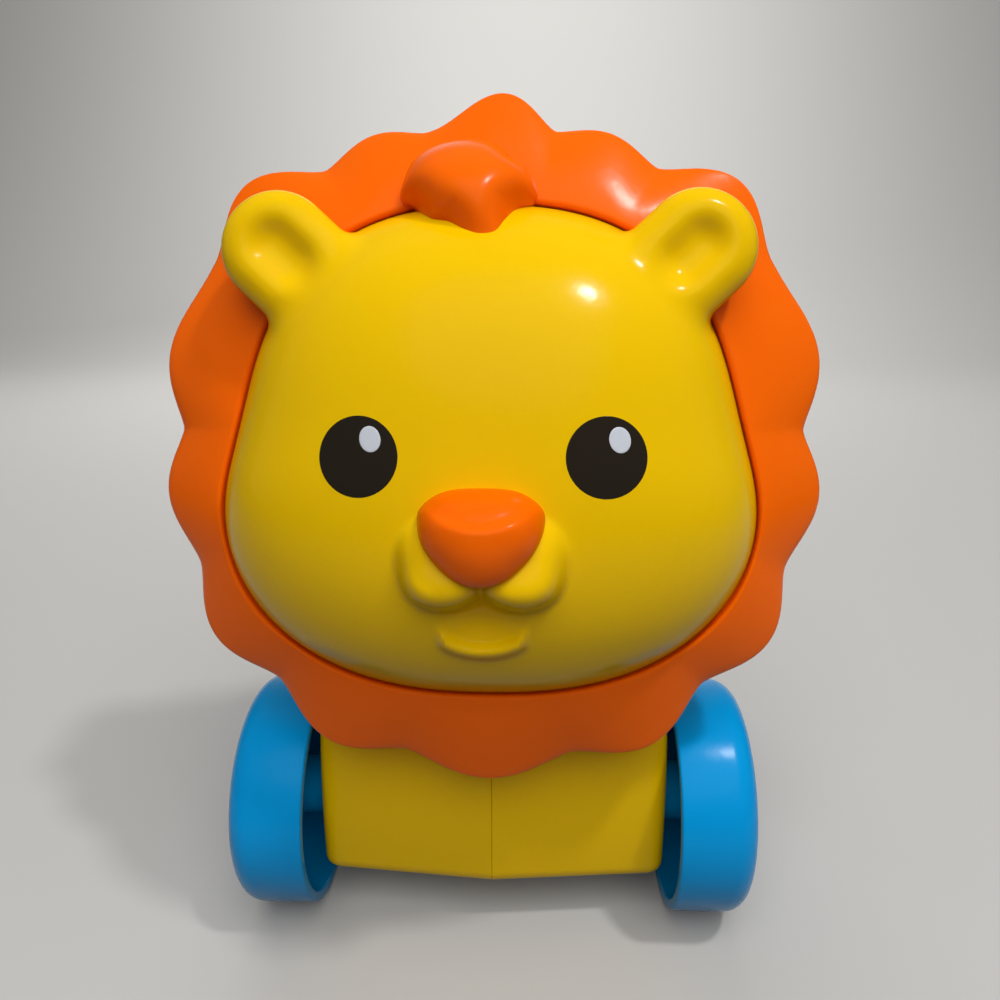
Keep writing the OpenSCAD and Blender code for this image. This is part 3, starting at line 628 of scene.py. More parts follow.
class Wardrobe:
    """Hands out each finish's material, built once."""

    def __init__(self) -> None:
        """Starts with no material built."""
        self.built: dict[str, bpy.types.Material] = {}

    def material(self, slot: str) -> bpy.types.Material:
        """Looks up a material, and builds it the first time.

        Args:
            slot: A slot of the record.

        Returns:
            The slot's material.
        """
        if slot not in self.built:
            self.built[slot] = FINISHES[slot].material()
        return self.built[slot]

    def piece(
        self, name: str, mesh: bpy.types.Mesh, body: str, slot: str, nodes: tuple[str, ...]
    ) -> bpy.types.Object:
        """Puts a finished mesh into the scene as a piece of the toy.

        Args:
            name: Name of the piece.
            mesh: Its mesh, in metres and in place.
            body: The body that it rides on.
            slot: The record's slot that its finish comes from.
            nodes: The nodes that it stands for.

        Returns:
            The piece's object.
        """
        made = bpy.data.objects.new(name, mesh)
        bpy.context.scene.collection.objects.link(made)
        mesh.materials.append(self.material(slot))
        mesh.shade_smooth()
        mesh.set_sharp_from_angle(angle=SHARP_ANGLE)
        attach(made, body)
        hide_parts(*nodes)
        LOG.info("%s: %d faces, on %s", name, len(mesh.polygons), body)
        return made

    def dress(self, nodes: dict[str, bpy.types.Object], slots: dict[str, str]) -> None:
        """Gives nodes that stay as they are their materials.

        Args:
            nodes: The frame's nodes by name.
            slots: The slot of each node that is dressed.
        """
        for name, slot in slots.items():
            skin = nodes[name].data
            skin.materials.clear()
            skin.materials.append(self.material(slot))
            LOG.info("%s: dressed as %s", name, slot)


@dataclass
class Ear:
    """A round-ended tab that runs into the face, with a long cup in its front."""

    angle: float = 47.0
    out: float = 46.45
    radius: float = 9.3
    thickness: float = 10.0
    lift: float = 10.8
    tab: float = 16.0
    power: float = 2.5
    cup_radius: float = 4.5
    cup_lift: float = 6.9
    cup_length: float = 4.0
    cup_edge: float = 2.6

    def spine(self, side: Side) -> tuple[Array, Array]:
        """Works out the line that an ear lies along.

        Args:
            side: Which ear.

        Returns:
            The middle of its round end, and the way from there into the face.
        """
        turn = math.radians(self.angle)
        way = np.array([side.value * math.sin(turn), math.cos(turn), 0.0])
        return way * self.out + np.array([0.0, 0.0, self.lift]), -way

    def rough(self, made: bmesh.types.BMesh, side: Side) -> None:
        """Adds a rough ear.

        Args:
            made: The bmesh that gets the ear.
            side: Which ear.
        """
        middle, inward = self.spine(side)
        ball = bmesh.ops.create_uvsphere(made, u_segments=40, v_segments=24, radius=1.0)["verts"]
        for vert in ball:
            place = np.array(vert.co) * (self.radius, self.radius, self.thickness / 2)
            stretch = inward * self.tab if place @ inward > 0 else 0.0
            vert.co = middle + place + stretch

    def distance(self, points: Array, side: Side) -> Array:
        """Measures from an ear's outside, without its cup.

        Args:
            points: Rows of x, y and z.
            side: Which ear.

        Returns:
            Distances, below 0 inside.
        """
        middle, inward = self.spine(side)
        flat = self.from_spine(points - middle, inward, self.tab)
        thick = np.abs(points[:, 2] - middle[2]) / (self.thickness / 2)
        gauge = ((flat / self.radius) ** self.power + thick**self.power) ** (1.0 / self.power)
        return (gauge - 1.0) * (self.radius + self.thickness / 2) / 2

    def cup(self, points: Array, side: Side) -> Array:
        """Measures from the space of an ear's cup.

        Args:
            points: Rows of x, y and z.
            side: Which ear.

        Returns:
            Distances, below 0 inside.
        """
        middle, inward = self.spine(side)
        offset = points - middle
        flat = self.from_spine(offset, inward, self.cup_length)
        return np.hypot(flat, offset[:, 2] - self.cup_lift) - self.cup_radius

    @staticmethod
    def from_spine(offset: Array, inward: Array, length: float) -> Array:
        """Returns the distance, in the face's plane, from a spine of that length."""
        along = np.clip(offset @ inward, 0.0, length)
        return np.hypot(offset[:, 0] - along * inward[0], offset[:, 1] - along * inward[1])


@dataclass
class FaceForm:
    """The face: a pear-shaped dome with a muzzle, and two ears."""

    middle: float = -1.3
    half_width: float = 45.3
    pear: float = 3.4
    pear_span: float = 12.0
    pear_shift: float = 2.0
    half_height: float = 42.3
    outline_power: float = 2.4
    depth: float = 26.0
    dome_power: float = 2.6
    sink: float = 4.0
    blend_power: float = 2.3
    mean_radius: float = 39.0
    cheek_across: float = 5.6
    cheek_up: float = -17.5
    cheek_half: tuple[float, float] = (7.6, 8.0)
    cheek_foot: float = 20.3
    cheek_height: float = 9.2
    cheek_power: float = 4.5
    cheek_square: float = 2.4
    cheek_tilt: float = 0.3
    cheek_fillets: tuple[float, float] = (1.7, 6.0)
    cheek_melt: float = 0.7
    mouth_up: float = -26.4
    mouth_half: tuple[float, float] = (7.5, 4.8)
    mouth_depth: float = 2.0
    lip_up: float = -21.6
    lip_radius: float = 10.8
    lip_half_width: float = 7.6
    lip_height: float = 1.9
    lip_width: float = 2.1
    ear_fillet: float = 2.4
    ear: Ear = field(default_factory=Ear)

    def reach(self, across: Array, up: Array) -> Array:
        """Measures the pear-shaped outline from the face's middle.

        Args:
            across: The directions' parts across the face.
            up: The directions' parts up the face.

        Returns:
            The outline's radius in each direction.
        """
        turn = np.arctan2(across, up)
        sine, cosine = np.abs(np.sin(turn)), np.cos(turn)
        level = (self.half_height * cosine + self.pear_shift) / self.pear_span
        half = self.half_width - self.pear * np.tanh(level)
        power = self.outline_power
        return ((sine / half) ** power + (np.abs(cosine) / self.half_height) ** power) ** (-1.0 / power)

    def share(self, across: Array, up: Array) -> Array:
        """Returns how far points are on the way from the face's middle to its outline."""
        lifted = up - self.middle
        return np.hypot(across, lifted) / self.reach(across, lifted)

    def cheeks(self, across: Array, up: Array) -> Array:
        """Swells the two cheeks, squarish balls in the dome that hang a little forward.

        Args:
            across: Places across the face.
            up: Places up the face.

        Returns:
            How far the cheeks stand out of the dome.
        """
        dome = self.dome(across, up)
        rise = up - self.cheek_up
        aside = np.abs(np.abs(across) - self.cheek_across) / self.cheek_half[0]
        square = self.cheek_square
        share = (aside**square + np.abs(rise / self.cheek_half[1]) ** square) ** (1.0 / square)
        far = 2.0
        swollen = 1.0 - np.minimum(share, far) ** self.cheek_power
        ball = self.cheek_foot + self.cheek_height * swollen - self.cheek_tilt * rise
        low, high = self.cheek_fillets
        fillet = low + (high - low) * ease(rise / self.cheek_half[1] + self.cheek_melt)
        return -joined(-dome, -ball, fillet) - dome

    def mouth(self, across: Array, up: Array) -> Array:
        """Shapes the mouth's hollow and the lip that rims it below.

        Args:
            across: Places across the face.
            up: Places up the face.

        Returns:
            How far the mouth stands out of the dome, below 0 in the hollow.
        """
        share = np.hypot(across / self.mouth_half[0], (up - self.mouth_up) / self.mouth_half[1])
        span = np.hypot(across, np.maximum(self.lip_up - up, 0.0))
        ends = ease((self.lip_half_width - np.abs(across)) / self.lip_width)
        lip = swell(np.abs(span - self.lip_radius) / self.lip_width) * ends
        return self.lip_height * lip - self.mouth_depth * swell(share)

    def muzzle(self, across: Array, up: Array) -> Array:
        """Returns how far the cheeks, the mouth and the lip stand out of the dome."""
        return self.cheeks(across, up) + self.mouth(across, up)

    def dome(self, across: Array, up: Array) -> Array:
        """Returns the height of the face's bare dome in front of the mane's rim."""
        share = np.minimum(self.share(across, up), 1.0)
        return self.depth * np.sqrt(1.0 - share**self.dome_power)

    def height(self, across: Array, up: Array) -> Array:
        """Returns the face's height in front of the mane's rim."""
        return self.dome(across, up) + self.muzzle(across, up)

    def nose_seat(self, across: Array, up: Array) -> Array:
        """Returns the height of the face under the nose, level over the cleft between the cheeks."""
        return self.dome(across, up) + self.cheeks(np.maximum(np.abs(across), self.cheek_across), up)

    def surface(self, points: Array) -> Array:
        """Measures from the face with its ears, before its muzzle is raised.

        Args:
            points: Rows of x, y and z.

        Returns:
            Distances, below 0 inside.
        """
        across, up, out = points.T
        raised = np.maximum(out, 0.0) / self.depth
        gauge = self.share(across, up) ** self.dome_power + raised**2
        form = (gauge ** (1.0 / self.blend_power) - 1.0) * self.mean_radius
        for side in Side:
            form = joined(form, self.ear.distance(points, side), self.ear_fillet)
        for side in Side:
            form = shared(form, -self.ear.cup(points, side), self.ear.cup_edge)
        return np.maximum(form, -self.sink - out)

    def mesh(self, voxel: float) -> bpy.types.Mesh:
        """Builds the face.

        Args:
            voxel: Size of the skin's cells.

        Returns:
            The face's mesh in the head's frame.
        """
        rough = bmesh.new()
        dome = bmesh.ops.create_uvsphere(rough, u_segments=128, v_segments=64, radius=1.0)["verts"]
        for vert in dome:
            span = math.hypot(vert.co.x, vert.co.y)
            reach = float(self.reach(np.array(vert.co.x), np.array(vert.co.y)))
            out = self.depth * math.sqrt(max(0.0, 1.0 - span**self.dome_power))
            lifted = vert.co.z >= 0.0
            vert.co = (vert.co.x * reach, vert.co.y * reach + self.middle, out if lifted else -self.sink)
        for side in Side:
            self.ear.rough(rough, side)
        skin = skin_over("face", rough, self.surface, voxel)
        places = corners_of(skin)
        raised = self.muzzle(places[:, 0], places[:, 1])
        places[:, 2] += np.where(places[:, 2] > 0.0, raised, 0.0)
        set_corners(skin, places)
        return skin


@dataclass
class ManeForm:
    """The mane: a scalloped ring round the face."""

    face: FaceForm
    notch_angles: tuple[float, ...] = (11.8, 31.0, 57.0, 87.0, 112.0, 138.0, 165.0)
    notch_radii: tuple[float, ...] = (55.5, 56.0, 58.5, 55.0, 56.5, 57.0, 57.2)
    lobe_radii: tuple[float, ...] = (61.0, 57.8, 62.9, 59.7, 58.7, 60.8, 61.2, 60.4)
    lobe_round: float = 0.75
    top_lean: float = 1.3
    gap: float = -0.3
    crown: float = 6.5
    depth: float = 6.0
    draft: float = 0.8
    power: float = 1.05
    round: float = 0.9
    spare: float = 1.0
    edge: float = 0.86
    edge_share: float = 0.07
    rim_round: float = 12.0
    steps: int = 540
    front_steps: tuple[int, int, int] = (7, 8, 14)

    def radius(self, angle: Array) -> Array:
        """Measures the scalloped outline.

        Args:
            angle: Angles in degrees, 0 straight up.

        Returns:
            The outline's radius at each angle.
        """
        signed = (angle + 180.0) % 360.0 - 180.0
        turn = np.abs(signed)
        notches, radii = np.array(self.notch_angles), np.array(self.notch_radii)
        lows = np.concatenate(([-notches[0]], notches))
        highs = np.concatenate((notches, [360.0 - notches[-1]]))
        low_radii = np.concatenate(([radii[0]], radii))
        high_radii = np.concatenate((radii, [radii[-1]]))
        lobe = np.searchsorted(notches, turn, side="right")
        share = (np.where(lobe == 0, signed, turn) - lows[lobe]) / (highs[lobe] - lows[lobe])
        share = np.where(lobe == 0, share**self.top_lean, share)
        base = low_radii[lobe] + (high_radii[lobe] - low_radii[lobe]) * share
        bulge = (0.5 - 0.5 * np.cos(math.tau * share)) ** self.lobe_round
        return base + (np.array(self.lobe_radii)[lobe] - base) * bulge

    def opening(self, angle: Array) -> Array:
        """Measures the opening for the face.

        Args:
            angle: Angles in degrees, 0 straight up.

        Returns:
            The opening's radius at each angle.
        """
        across, up = np.sin(np.radians(angle)), np.cos(np.radians(angle))
        middle, far = self.face.middle, self.face.half_width
        reach = self.face.reach(across * far, up * far - middle)
        lean = up * middle
        return lean + np.sqrt(lean**2 - middle**2 + reach**2) + self.gap

    def front(self, share: Array, angle: Array) -> Array:
        """Returns the height of the ring's front.

        Args:
            share: The way from the opening, 0, to the scalloped rim, 1.
            angle: Angles in degrees.

        Returns:
            Heights in front of the mane's rim.
        """
        opening = self.opening(angle)
        width = self.radius(angle) - opening
        broad = share * width / (max(self.lobe_radii) + self.spare - opening)
        fall = (1.0 - broad**self.power) ** self.round
        inner = np.clip(1.0 - share / self.edge_share, 0.0, 1.0)
        rise = self.edge + (1.0 - self.edge) * np.sqrt(1.0 - inner**2)
        outer = np.clip(1.0 - (1.0 - share) * width / self.rim_round, 0.0, 1.0)
        return self.crown * fall * rise * np.sqrt(1.0 - outer**2)

    def over(self, across: Array, up: Array) -> Array:
        """Measures the ring's front over places of the head, level across its opening.

        Args:
            across: Places across the face.
            up: Places up the face.

        Returns:
            Heights in front of the mane's rim.
        """
        angle, span = turned_to(across, up), np.hypot(across, up)
        opening = self.opening(angle)
        share = (span - opening) / (self.radius(angle) - opening)
        return self.front(np.clip(share, self.edge_share, 1.0), angle)

    def mesh(self) -> bpy.types.Mesh:
        """Builds the ring in the head's frame.

        Returns:
            The ring's mesh.
        """
        back, axis, split = -1.0, 2.0, 0.55
        first, second, third = self.front_steps
        inner = [self.edge_share * (1.0 - math.cos(math.pi / 2 * k / first)) for k in range(first + 1)]
        middle = [self.edge_share + (split - self.edge_share) * k / second for k in range(1, second + 1)]
        outer = [
            1.0 - (1.0 - split) * (1.0 - math.sin(math.pi / 2 * k / third)) for k in range(1, third + 1)
        ]
        fronts = [(axis + share, 0.0) for share in inner + middle + outer]
        walls = [(axis + 1.0, level) for level in (-0.25, -0.5, -0.8, back)]
        rear = [(axis + share, back) for share in (0.8, 0.5, 0.2, 0.0)]
        inside = [(axis, level) for level in (-0.7, -0.35)]
        made = spun(fronts + walls + rear + inside, self.steps)
        places = np.array([vert.co for vert in made.verts])
        angle = turned_to(places[:, 0], places[:, 1])
        share = np.hypot(places[:, 0], places[:, 1]) - axis
        level = places[:, 2]
        opening, radius = self.opening(angle), self.radius(angle)
        span = opening + share * (radius - opening) + self.draft * level * np.clip(share, 0.0, 1.0)
        front = self.front(np.clip(share, 0.0, 1.0), angle)
        out = front + level * (front + self.depth)
        turn = np.radians(angle)
        for vert, x, y, z in zip(made.verts, span * np.sin(turn), span * np.cos(turn), out):
            vert.co = (x, y, z)
        return mesh_of("mane", made)


@dataclass
class Outline:
    """A closed outline round a middle, as a radius for every direction."""

    middle: tuple[float, float]
    curve: Array

    def reach(self, across: Array, up: Array) -> Array:
        """Measures the outline from its middle.

        Args:
            across: The directions' parts across the face.
            up: The directions' parts up the face.

        Returns:
            The outline's radius in each direction.
        """
        offset = self.curve - np.array(self.middle)
        angles = turned_to(*offset.T)
        order = np.argsort(angles)
        return np.interp(turned_to(across, up), angles[order], np.hypot(*offset[order].T), period=360.0)

    def inset(self, x: Array, y: Array) -> Array:
        """Measures how far inside the outline places lie, by a smooth distance without ridges.

        Args:
            x: Places across the face.
            y: Places up the face.

        Returns:
            Distances, which are true near the outline and short far inside.
        """
        steps = np.linalg.norm(np.roll(self.curve, -1, axis=0) - self.curve, axis=1)
        offset = np.hypot(x[:, None] - self.curve[:, 0], y[:, None] - self.curve[:, 1])
        near = np.maximum(offset, steps / 2) ** -4
        return (near @ steps / (math.pi / 2)) ** (-1.0 / 3.0)

    @staticmethod
    def oval(middle: tuple[float, float], half: tuple[float, float], lean: float) -> "Outline":
        """Returns an oval outline.

        Args:
            middle: Its middle.
            half: Its half sizes across and up.
            lean: How far its top leans to the left, in degrees.

        Returns:
            The outline.
        """
        places = 180
        turn = np.linspace(0.0, math.tau, places, endpoint=False)
        x, y = half[0] * np.sin(turn), half[1] * np.cos(turn)
        c, s = math.cos(math.radians(lean)), math.sin(math.radians(lean))
        return Outline(middle, np.stack([x * c - y * s, x * s + y * c], axis=1) + np.array(middle))


def pad(name: str, outline: Outline, front: Height, back: Height, cells: int) -> bpy.types.Mesh:
    """Builds a trim piece between a front and a back that share one outline.

    Args:
        name: Name of the mesh.
        outline: The outline, seen from the front.
        front: Heights of the front, from places and from the way to the outline.
        back: Heights of the back, in the same way.
        cells: How many cells the piece has across.

    Returns:
        The mesh in the head's frame.
    """
    made = bmesh.new()
    bmesh.ops.create_grid(made, x_segments=cells, y_segments=cells, size=1.0)
    lifted = bmesh.ops.extrude_face_region(made, geom=made.faces[:], use_keep_orig=True)["geom"]
    fronts = {part for part in lifted if isinstance(part, bmesh.types.BMVert)}
    places = np.array([vert.co for vert in made.verts])
    square = np.abs(places[:, :2]).max(axis=1)
    share = np.sin(square * math.pi / 2)
    span = np.maximum(np.hypot(places[:, 0], places[:, 1]), 1e-9)
    across, up = places[:, 0] / span, places[:, 1] / span
    radius = outline.reach(across, up) * share
    x, y = outline.middle[0] + across * radius, outline.middle[1] + up * radius
    fronted = np.array([vert in fronts for vert in made.verts])
    z = np.where(fronted, front(x, y, share), back(x, y, share))
    for vert, place in zip(made.verts, np.stack([x, y, z], axis=1)):
        vert.co = place
    return mesh_of(name, made)


@dataclass
class Head:
    """The lion's head: face, mane, back, nose, tuft and printed eyes."""

    place: HeadPlace = field(default_factory=HeadPlace)
    face: FaceForm = field(default_factory=FaceForm)
    mane: ManeForm = field(init=False)
    voxel: float = 0.6
    back_voxel: float = 0.7
    body: str = "head"
    eye_across: float = 18.4
    eye_up: float = -2.0
    eye_radius: float = 6.1
    eye_cells: int = 40
    glint_cells: int = 24
    print_height: float = 0.07
    glint_from_eye: tuple[float, float] = (1.9, 2.6)
    glint_half: tuple[float, float] = (1.62, 1.95)
    glint_lean: float = 14.0
    nose_middle: tuple[float, float] = (0.0, -12.4)
    nose_half_width: float = 9.2
    nose_up: float = 5.9
    nose_down: float = 7.9
    nose_outline: tuple[tuple[float, float], ...] = (
        (0.0, 1.0), (0.55, 0.93), (0.91, 0.61), (1.02, 0.2), (0.86, -0.365), (0.45, -0.85), (0.0, -1.01),
    )
    nose_top: float = 34.5
    nose_smile: float = 0.045
    nose_tilt: float = 0.3
    nose_dish: float = 0.75
    nose_ridge: float = 1.8
    tuft_middle: tuple[float, float] = (-3.0, 41.6)
    tuft_outline: tuple[tuple[float, float], ...] = (
        (-14.6, -0.4), (-14.6, 2.4), (-13.2, 6.6), (-9.7, 9.3), (-4.6, 10.8), (0.1, 10.4), (2.9, 8.6),
        (4.6, 6.5), (7.0, 4.8), (8.2, 1.6), (7.6, -0.8), (4.8, -3.2), (3.3, -6.0), (1.8, -8.5),
        (-1.2, -8.9), (-4.0, -7.7), (-6.2, -6.2), (-9.0, -5.2), (-12.2, -1.8),
    )
    tuft_top: float = 17.4
    tuft_slope: float = 0.5
    tuft_sag: tuple[float, float] = (0.02, 0.03)
    tuft_foot: float = 4.8
    tuft_foot_slopes: tuple[float, float] = (0.25, 1.35)
    tuft_bend: float = 3.0
    tuft_round: float = 6.6
    tuft_steps: int = 36
    trim_steps: int = 24
    trim_cells: int = 72
    trim_edge: float = 0.5
    trim_power: float = 2.5
    trim_round: float = 0.68
    back_radius: float = 42.0
    back_depth: float = 36.0
    back_power: float = 2.2
    back_wall: float = 2.2
    back_fillet: float = 6.0
    flange_inset: float = 1.0
    flange_round: float = 0.8
    socket_radius: float = 16.0
    socket_round: float = 1.4
    socket_bottom: float = 58.6
    socket_top: float = 78.0
    socket_fillet: float = 5.0
    collar_room: float = 1.0
    neck_y: float = -3.0
    screw_places: tuple[tuple[float, float], ...] = (
        (26.0, 20.0), (-26.0, 20.0), (30.0, -20.0), (-30.0, -20.0)
    )
    screw_hole: float = 3.1
    screw_seat: float = -14.0

    def __post_init__(self) -> None:
        """Fits the mane round the face."""
        self.mane = ManeForm(self.face)

    def build(self, wardrobe: Wardrobe) -> None:
        """Builds every piece of the head.

        Args:
            wardrobe: Hands out the materials.
        """
        self.add(wardrobe, "lion_face", self.face.mesh(self.voxel), "yellow_plastic", "face_shell")
        self.add(wardrobe, "mane_ring", self.mane.mesh(), "orange_plastic", "mane")
        self.add(wardrobe, "back_of_head", self.back_mesh(), "orange_plastic", "head_back_shell")
        self.add(wardrobe, "nose_button", self.nose_mesh(), "orange_plastic", "nose")
        self.add(wardrobe, "tuft", self.tuft_mesh(), "orange_plastic", "forelock")
        for side in Side:
            label = side.name.lower()
            middle = (side.value * self.eye_across, self.eye_up)
            eye = Outline.oval(middle, (self.eye_radius, self.eye_radius), 0.0)
            mesh = self.print_mesh(eye, 1, self.eye_cells)
            self.add(wardrobe, f"{label}_eye", mesh, "eye_print", "eye_prints")
            glint_middle = (middle[0] + self.glint_from_eye[0], middle[1] + self.glint_from_eye[1])
            glint = Outline.oval(glint_middle, self.glint_half, self.glint_lean)
            mesh = self.print_mesh(glint, 2, self.glint_cells)
            self.add(wardrobe, f"{label}_glint", mesh, "glint_print", "eye_glints")

    def add(self, wardrobe: Wardrobe, name: str, mesh: bpy.types.Mesh, slot: str, node: str) -> None:
        """Places a mesh of the head's frame in the toy and makes it a piece.

        Args:
            wardrobe: Hands out the materials.
            name: Name of the piece.
            mesh: Its mesh.
            slot: The record's slot that its finish comes from.
            node: The node that it stands for.
        """
        mesh.transform(self.place.matrix())
        mesh.update()
        wardrobe.piece(name, mesh, self.body, slot, (node,))

    def print_mesh(self, outline: Outline, layer: int, cells: int) -> bpy.types.Mesh:
        """Builds a film of ink on the face.

        Args:
            outline: The print's outline.
            layer: 1 for ink on the face, 2 for ink on ink.
            cells: How many cells it has across.

        Returns:
            The film's mesh.
        """
        def front(x: Array, y: Array, share: Array) -> Array:
            """Returns the ink's outside, which thins out at its edge."""
            return self.face.height(x, y) + self.print_height * (layer - 1 + np.sqrt(1.0 - share**8))

        def back(x: Array, y: Array, share: Array) -> Array:
            """Returns the ink's back, a little inside the face."""
            return self.face.height(x, y) - self.print_height

        return pad("print", outline, front, back, cells)

    def nose_mesh(self) -> bpy.types.Mesh:
        """Builds the nose: a rounded triangle whose upper part is dished above a smile-shaped crease.

        Returns:
            The nose's mesh.
        """
        half = self.nose_outline
        whole = [*half, *((-x, y) for x, y in reversed(half[1:-1]))]
        middle_x, middle_y = self.nose_middle
        points = [
            (middle_x + x * self.nose_half_width, middle_y + y * (self.nose_up if y > 0 else self.nose_down))
            for x, y in whole
        ]
        outline = Outline(self.nose_middle, closed_curve(points, self.trim_steps))

        def front(x: Array, y: Array, share: Array) -> Array:
            """Shapes the nose's outside, dished above the crease.

            Args:
                x: Places across the face.
                y: Places up the face.
                share: The way from the nose's middle, 0, to its outline, 1.

            Returns:
                Heights in front of the mane's rim.
            """
            edge = self.face.nose_seat(x, y) + self.trim_edge
            above = y - middle_y - self.nose_smile * (x - middle_x) ** 2
            dish = ease(above / self.nose_ridge) * (1.0 - ease(above / self.nose_up))
            crest = self.nose_top - self.nose_tilt * np.maximum(above, 0.0) - self.nose_dish * dish
            return edge + (crest - edge) * (1.0 - share**self.trim_power) ** self.trim_round

        def back(x: Array, y: Array, share: Array) -> Array:
            """Returns the nose's back, a little inside the face."""
            return self.face.height(x, y) - self.trim_edge

        return pad("nose", outline, front, back, self.trim_cells)

    def tuft_mesh(self) -> bpy.types.Mesh:
        """Builds the tuft: a lopsided lump over the mane and the top of the face.

        Returns:
            The tuft's mesh.
        """
        top = self.face.middle + self.face.half_height
        points = [(x, y + top) for x, y in self.tuft_outline]
        outline = Outline(self.tuft_middle, closed_curve(points, self.tuft_steps))

        def front(x: Array, y: Array, share: Array) -> Array:
            """Shapes the tuft's outside, which crowns over an edge that bends down onto the face.

            Args:
                x: Places across the face.
                y: Places up the face.
                share: The way from the tuft's middle, 0, to its outline, 1.

            Returns:
                Heights in front of the mane's rim.
            """
            below = top - y
            flat, steep = self.tuft_foot_slopes
            bent = (steep - flat) / 2 * (below + np.hypot(below, self.tuft_bend))
            edge = self.tuft_foot + flat * below + bent
            aside, above = x - self.tuft_middle[0], y - self.tuft_middle[1]
            sag = self.tuft_sag[0] * aside**2 + self.tuft_sag[1] * above**2
            crest = self.tuft_top - self.tuft_slope * above - sag
            from_edge = np.hypot(aside, above) * (1.0 / np.maximum(share, 1e-9) - 1.0)
            from_edge = np.where(share > 0.0, from_edge, self.tuft_round)
            inset = np.minimum(outline.inset(x, y), from_edge)
            rim = np.clip(1.0 - inset / self.tuft_round, 0.0, 1.0)
            return edge + (crest - edge) * (1.0 - rim**self.trim_power) ** self.trim_round

        def back(x: Array, y: Array, share: Array) -> Array:
            """Returns the tuft's back, a little inside the face and the mane."""
            return np.maximum(self.face.height(x, y), self.mane.over(x, y)) - self.trim_edge

        return pad("tuft", outline, front, back, self.trim_cells)

    def back_surface(self, points: Array) -> Array:
        """Measures from the back of the head: a dome, a flange behind the mane and the neck's socket.

        Args:
            points: Rows of x, y and z.

        Returns:
            Distances, below 0 inside.
        """
        across, up, out = points.T
        seat = -self.mane.depth
        span = np.hypot(across, up)
        behind = np.maximum(seat - self.back_wall - out, 0.0)
        power = self.back_power
        gauge = ((span / self.back_radius) ** power + (behind / self.back_depth) ** power) ** (1.0 / power)
        dome = (gauge - 1.0) * (self.back_radius + self.back_depth) / 2
        dome = np.maximum(dome, out - seat)
        half = self.back_wall / 2
        rim = span - self.mane.radius(turned_to(across, up)) + self.flange_inset
        flange = shared(rim, np.abs(out - seat + half) - half, self.flange_round)
        toy = self.place.in_toy(points)
        round_neck = np.hypot(toy[:, 0], toy[:, 1] - self.neck_y) - self.socket_radius
        socket = shared(round_neck, self.socket_bottom - toy[:, 2], self.socket_round)
        socket = np.maximum(socket, toy[:, 2] - self.socket_top)
        form = joined(dome, flange, self.back_fillet)
        form = joined(np.maximum(form, out - seat), socket, self.socket_fillet)
        room = np.maximum(round_neck - self.collar_room, toy[:, 2] - self.socket_bottom)
        return shared(form, -room, self.collar_room)

    def back_mesh(self) -> bpy.types.Mesh:
        """Builds the back of the head with its four screw holes.

        Returns:
            The mesh in the head's frame.
        """
        rough = bmesh.new()
        seat = -self.mane.depth
        dome = bmesh.ops.create_uvsphere(rough, u_segments=96, v_segments=48, radius=1.0)["verts"]
        for vert in dome:
            level = seat if vert.co.z > 0 else seat - self.back_wall + vert.co.z * self.back_depth
            vert.co = (vert.co.x * self.back_radius, vert.co.y * self.back_radius, level)
        for vert in rod(rough, 1.0, self.back_wall, 240, Matrix.Identity(4)):
            angle = turned_to(np.array(vert.co.x), np.array(vert.co.y))
            radius = float(self.mane.radius(angle)) - self.flange_inset
            vert.co = (vert.co.x * radius, vert.co.y * radius, seat - self.back_wall / 2 + vert.co.z)
        length = self.socket_top - self.socket_bottom
        middle = np.array([0.0, self.neck_y, self.socket_bottom + length / 2])
        for vert in rod(rough, self.socket_radius, length, 96, Matrix.Identity(4)):
            vert.co = self.place.in_head((np.array(vert.co) + middle)[None, :])[0]
        skin = skin_over("back", rough, self.back_surface, self.back_voxel)
        cutters = bmesh.new()
        depth = self.back_depth * 2
        for x, y in self.screw_places:
            place = Matrix.Translation((x, y, self.screw_seat - depth / 2))
            rod(cutters, self.screw_hole, depth, 48, place)
        return drilled(skin, cutters)


def drilled(skin: bpy.types.Mesh, cutters: bmesh.types.BMesh) -> bpy.types.Mesh:
    """Takes closed cutters out of a closed skin.

    Args:
        skin: The mesh that is drilled.
        cutters: The drills, which are used up.

    Returns:
        The drilled mesh.
    """
    scene = bpy.context.scene.collection.objects
    drills = bpy.data.objects.new("drills", mesh_of("drills", cutters))
    holder = bpy.data.objects.new("drilled", skin)
    for thing in (drills, holder):
        scene.link(thing)
    cut = holder.modifiers.new("holes", "BOOLEAN")
    cut.operation = "DIFFERENCE"
    cut.solver = "EXACT"
    cut.object = drills
    graph = bpy.context.evaluated_depsgraph_get()
    result = bpy.data.meshes.new_from_object(holder.evaluated_get(graph))
    for thing in (holder, drills):
        bpy.data.objects.remove(thing)
    return result


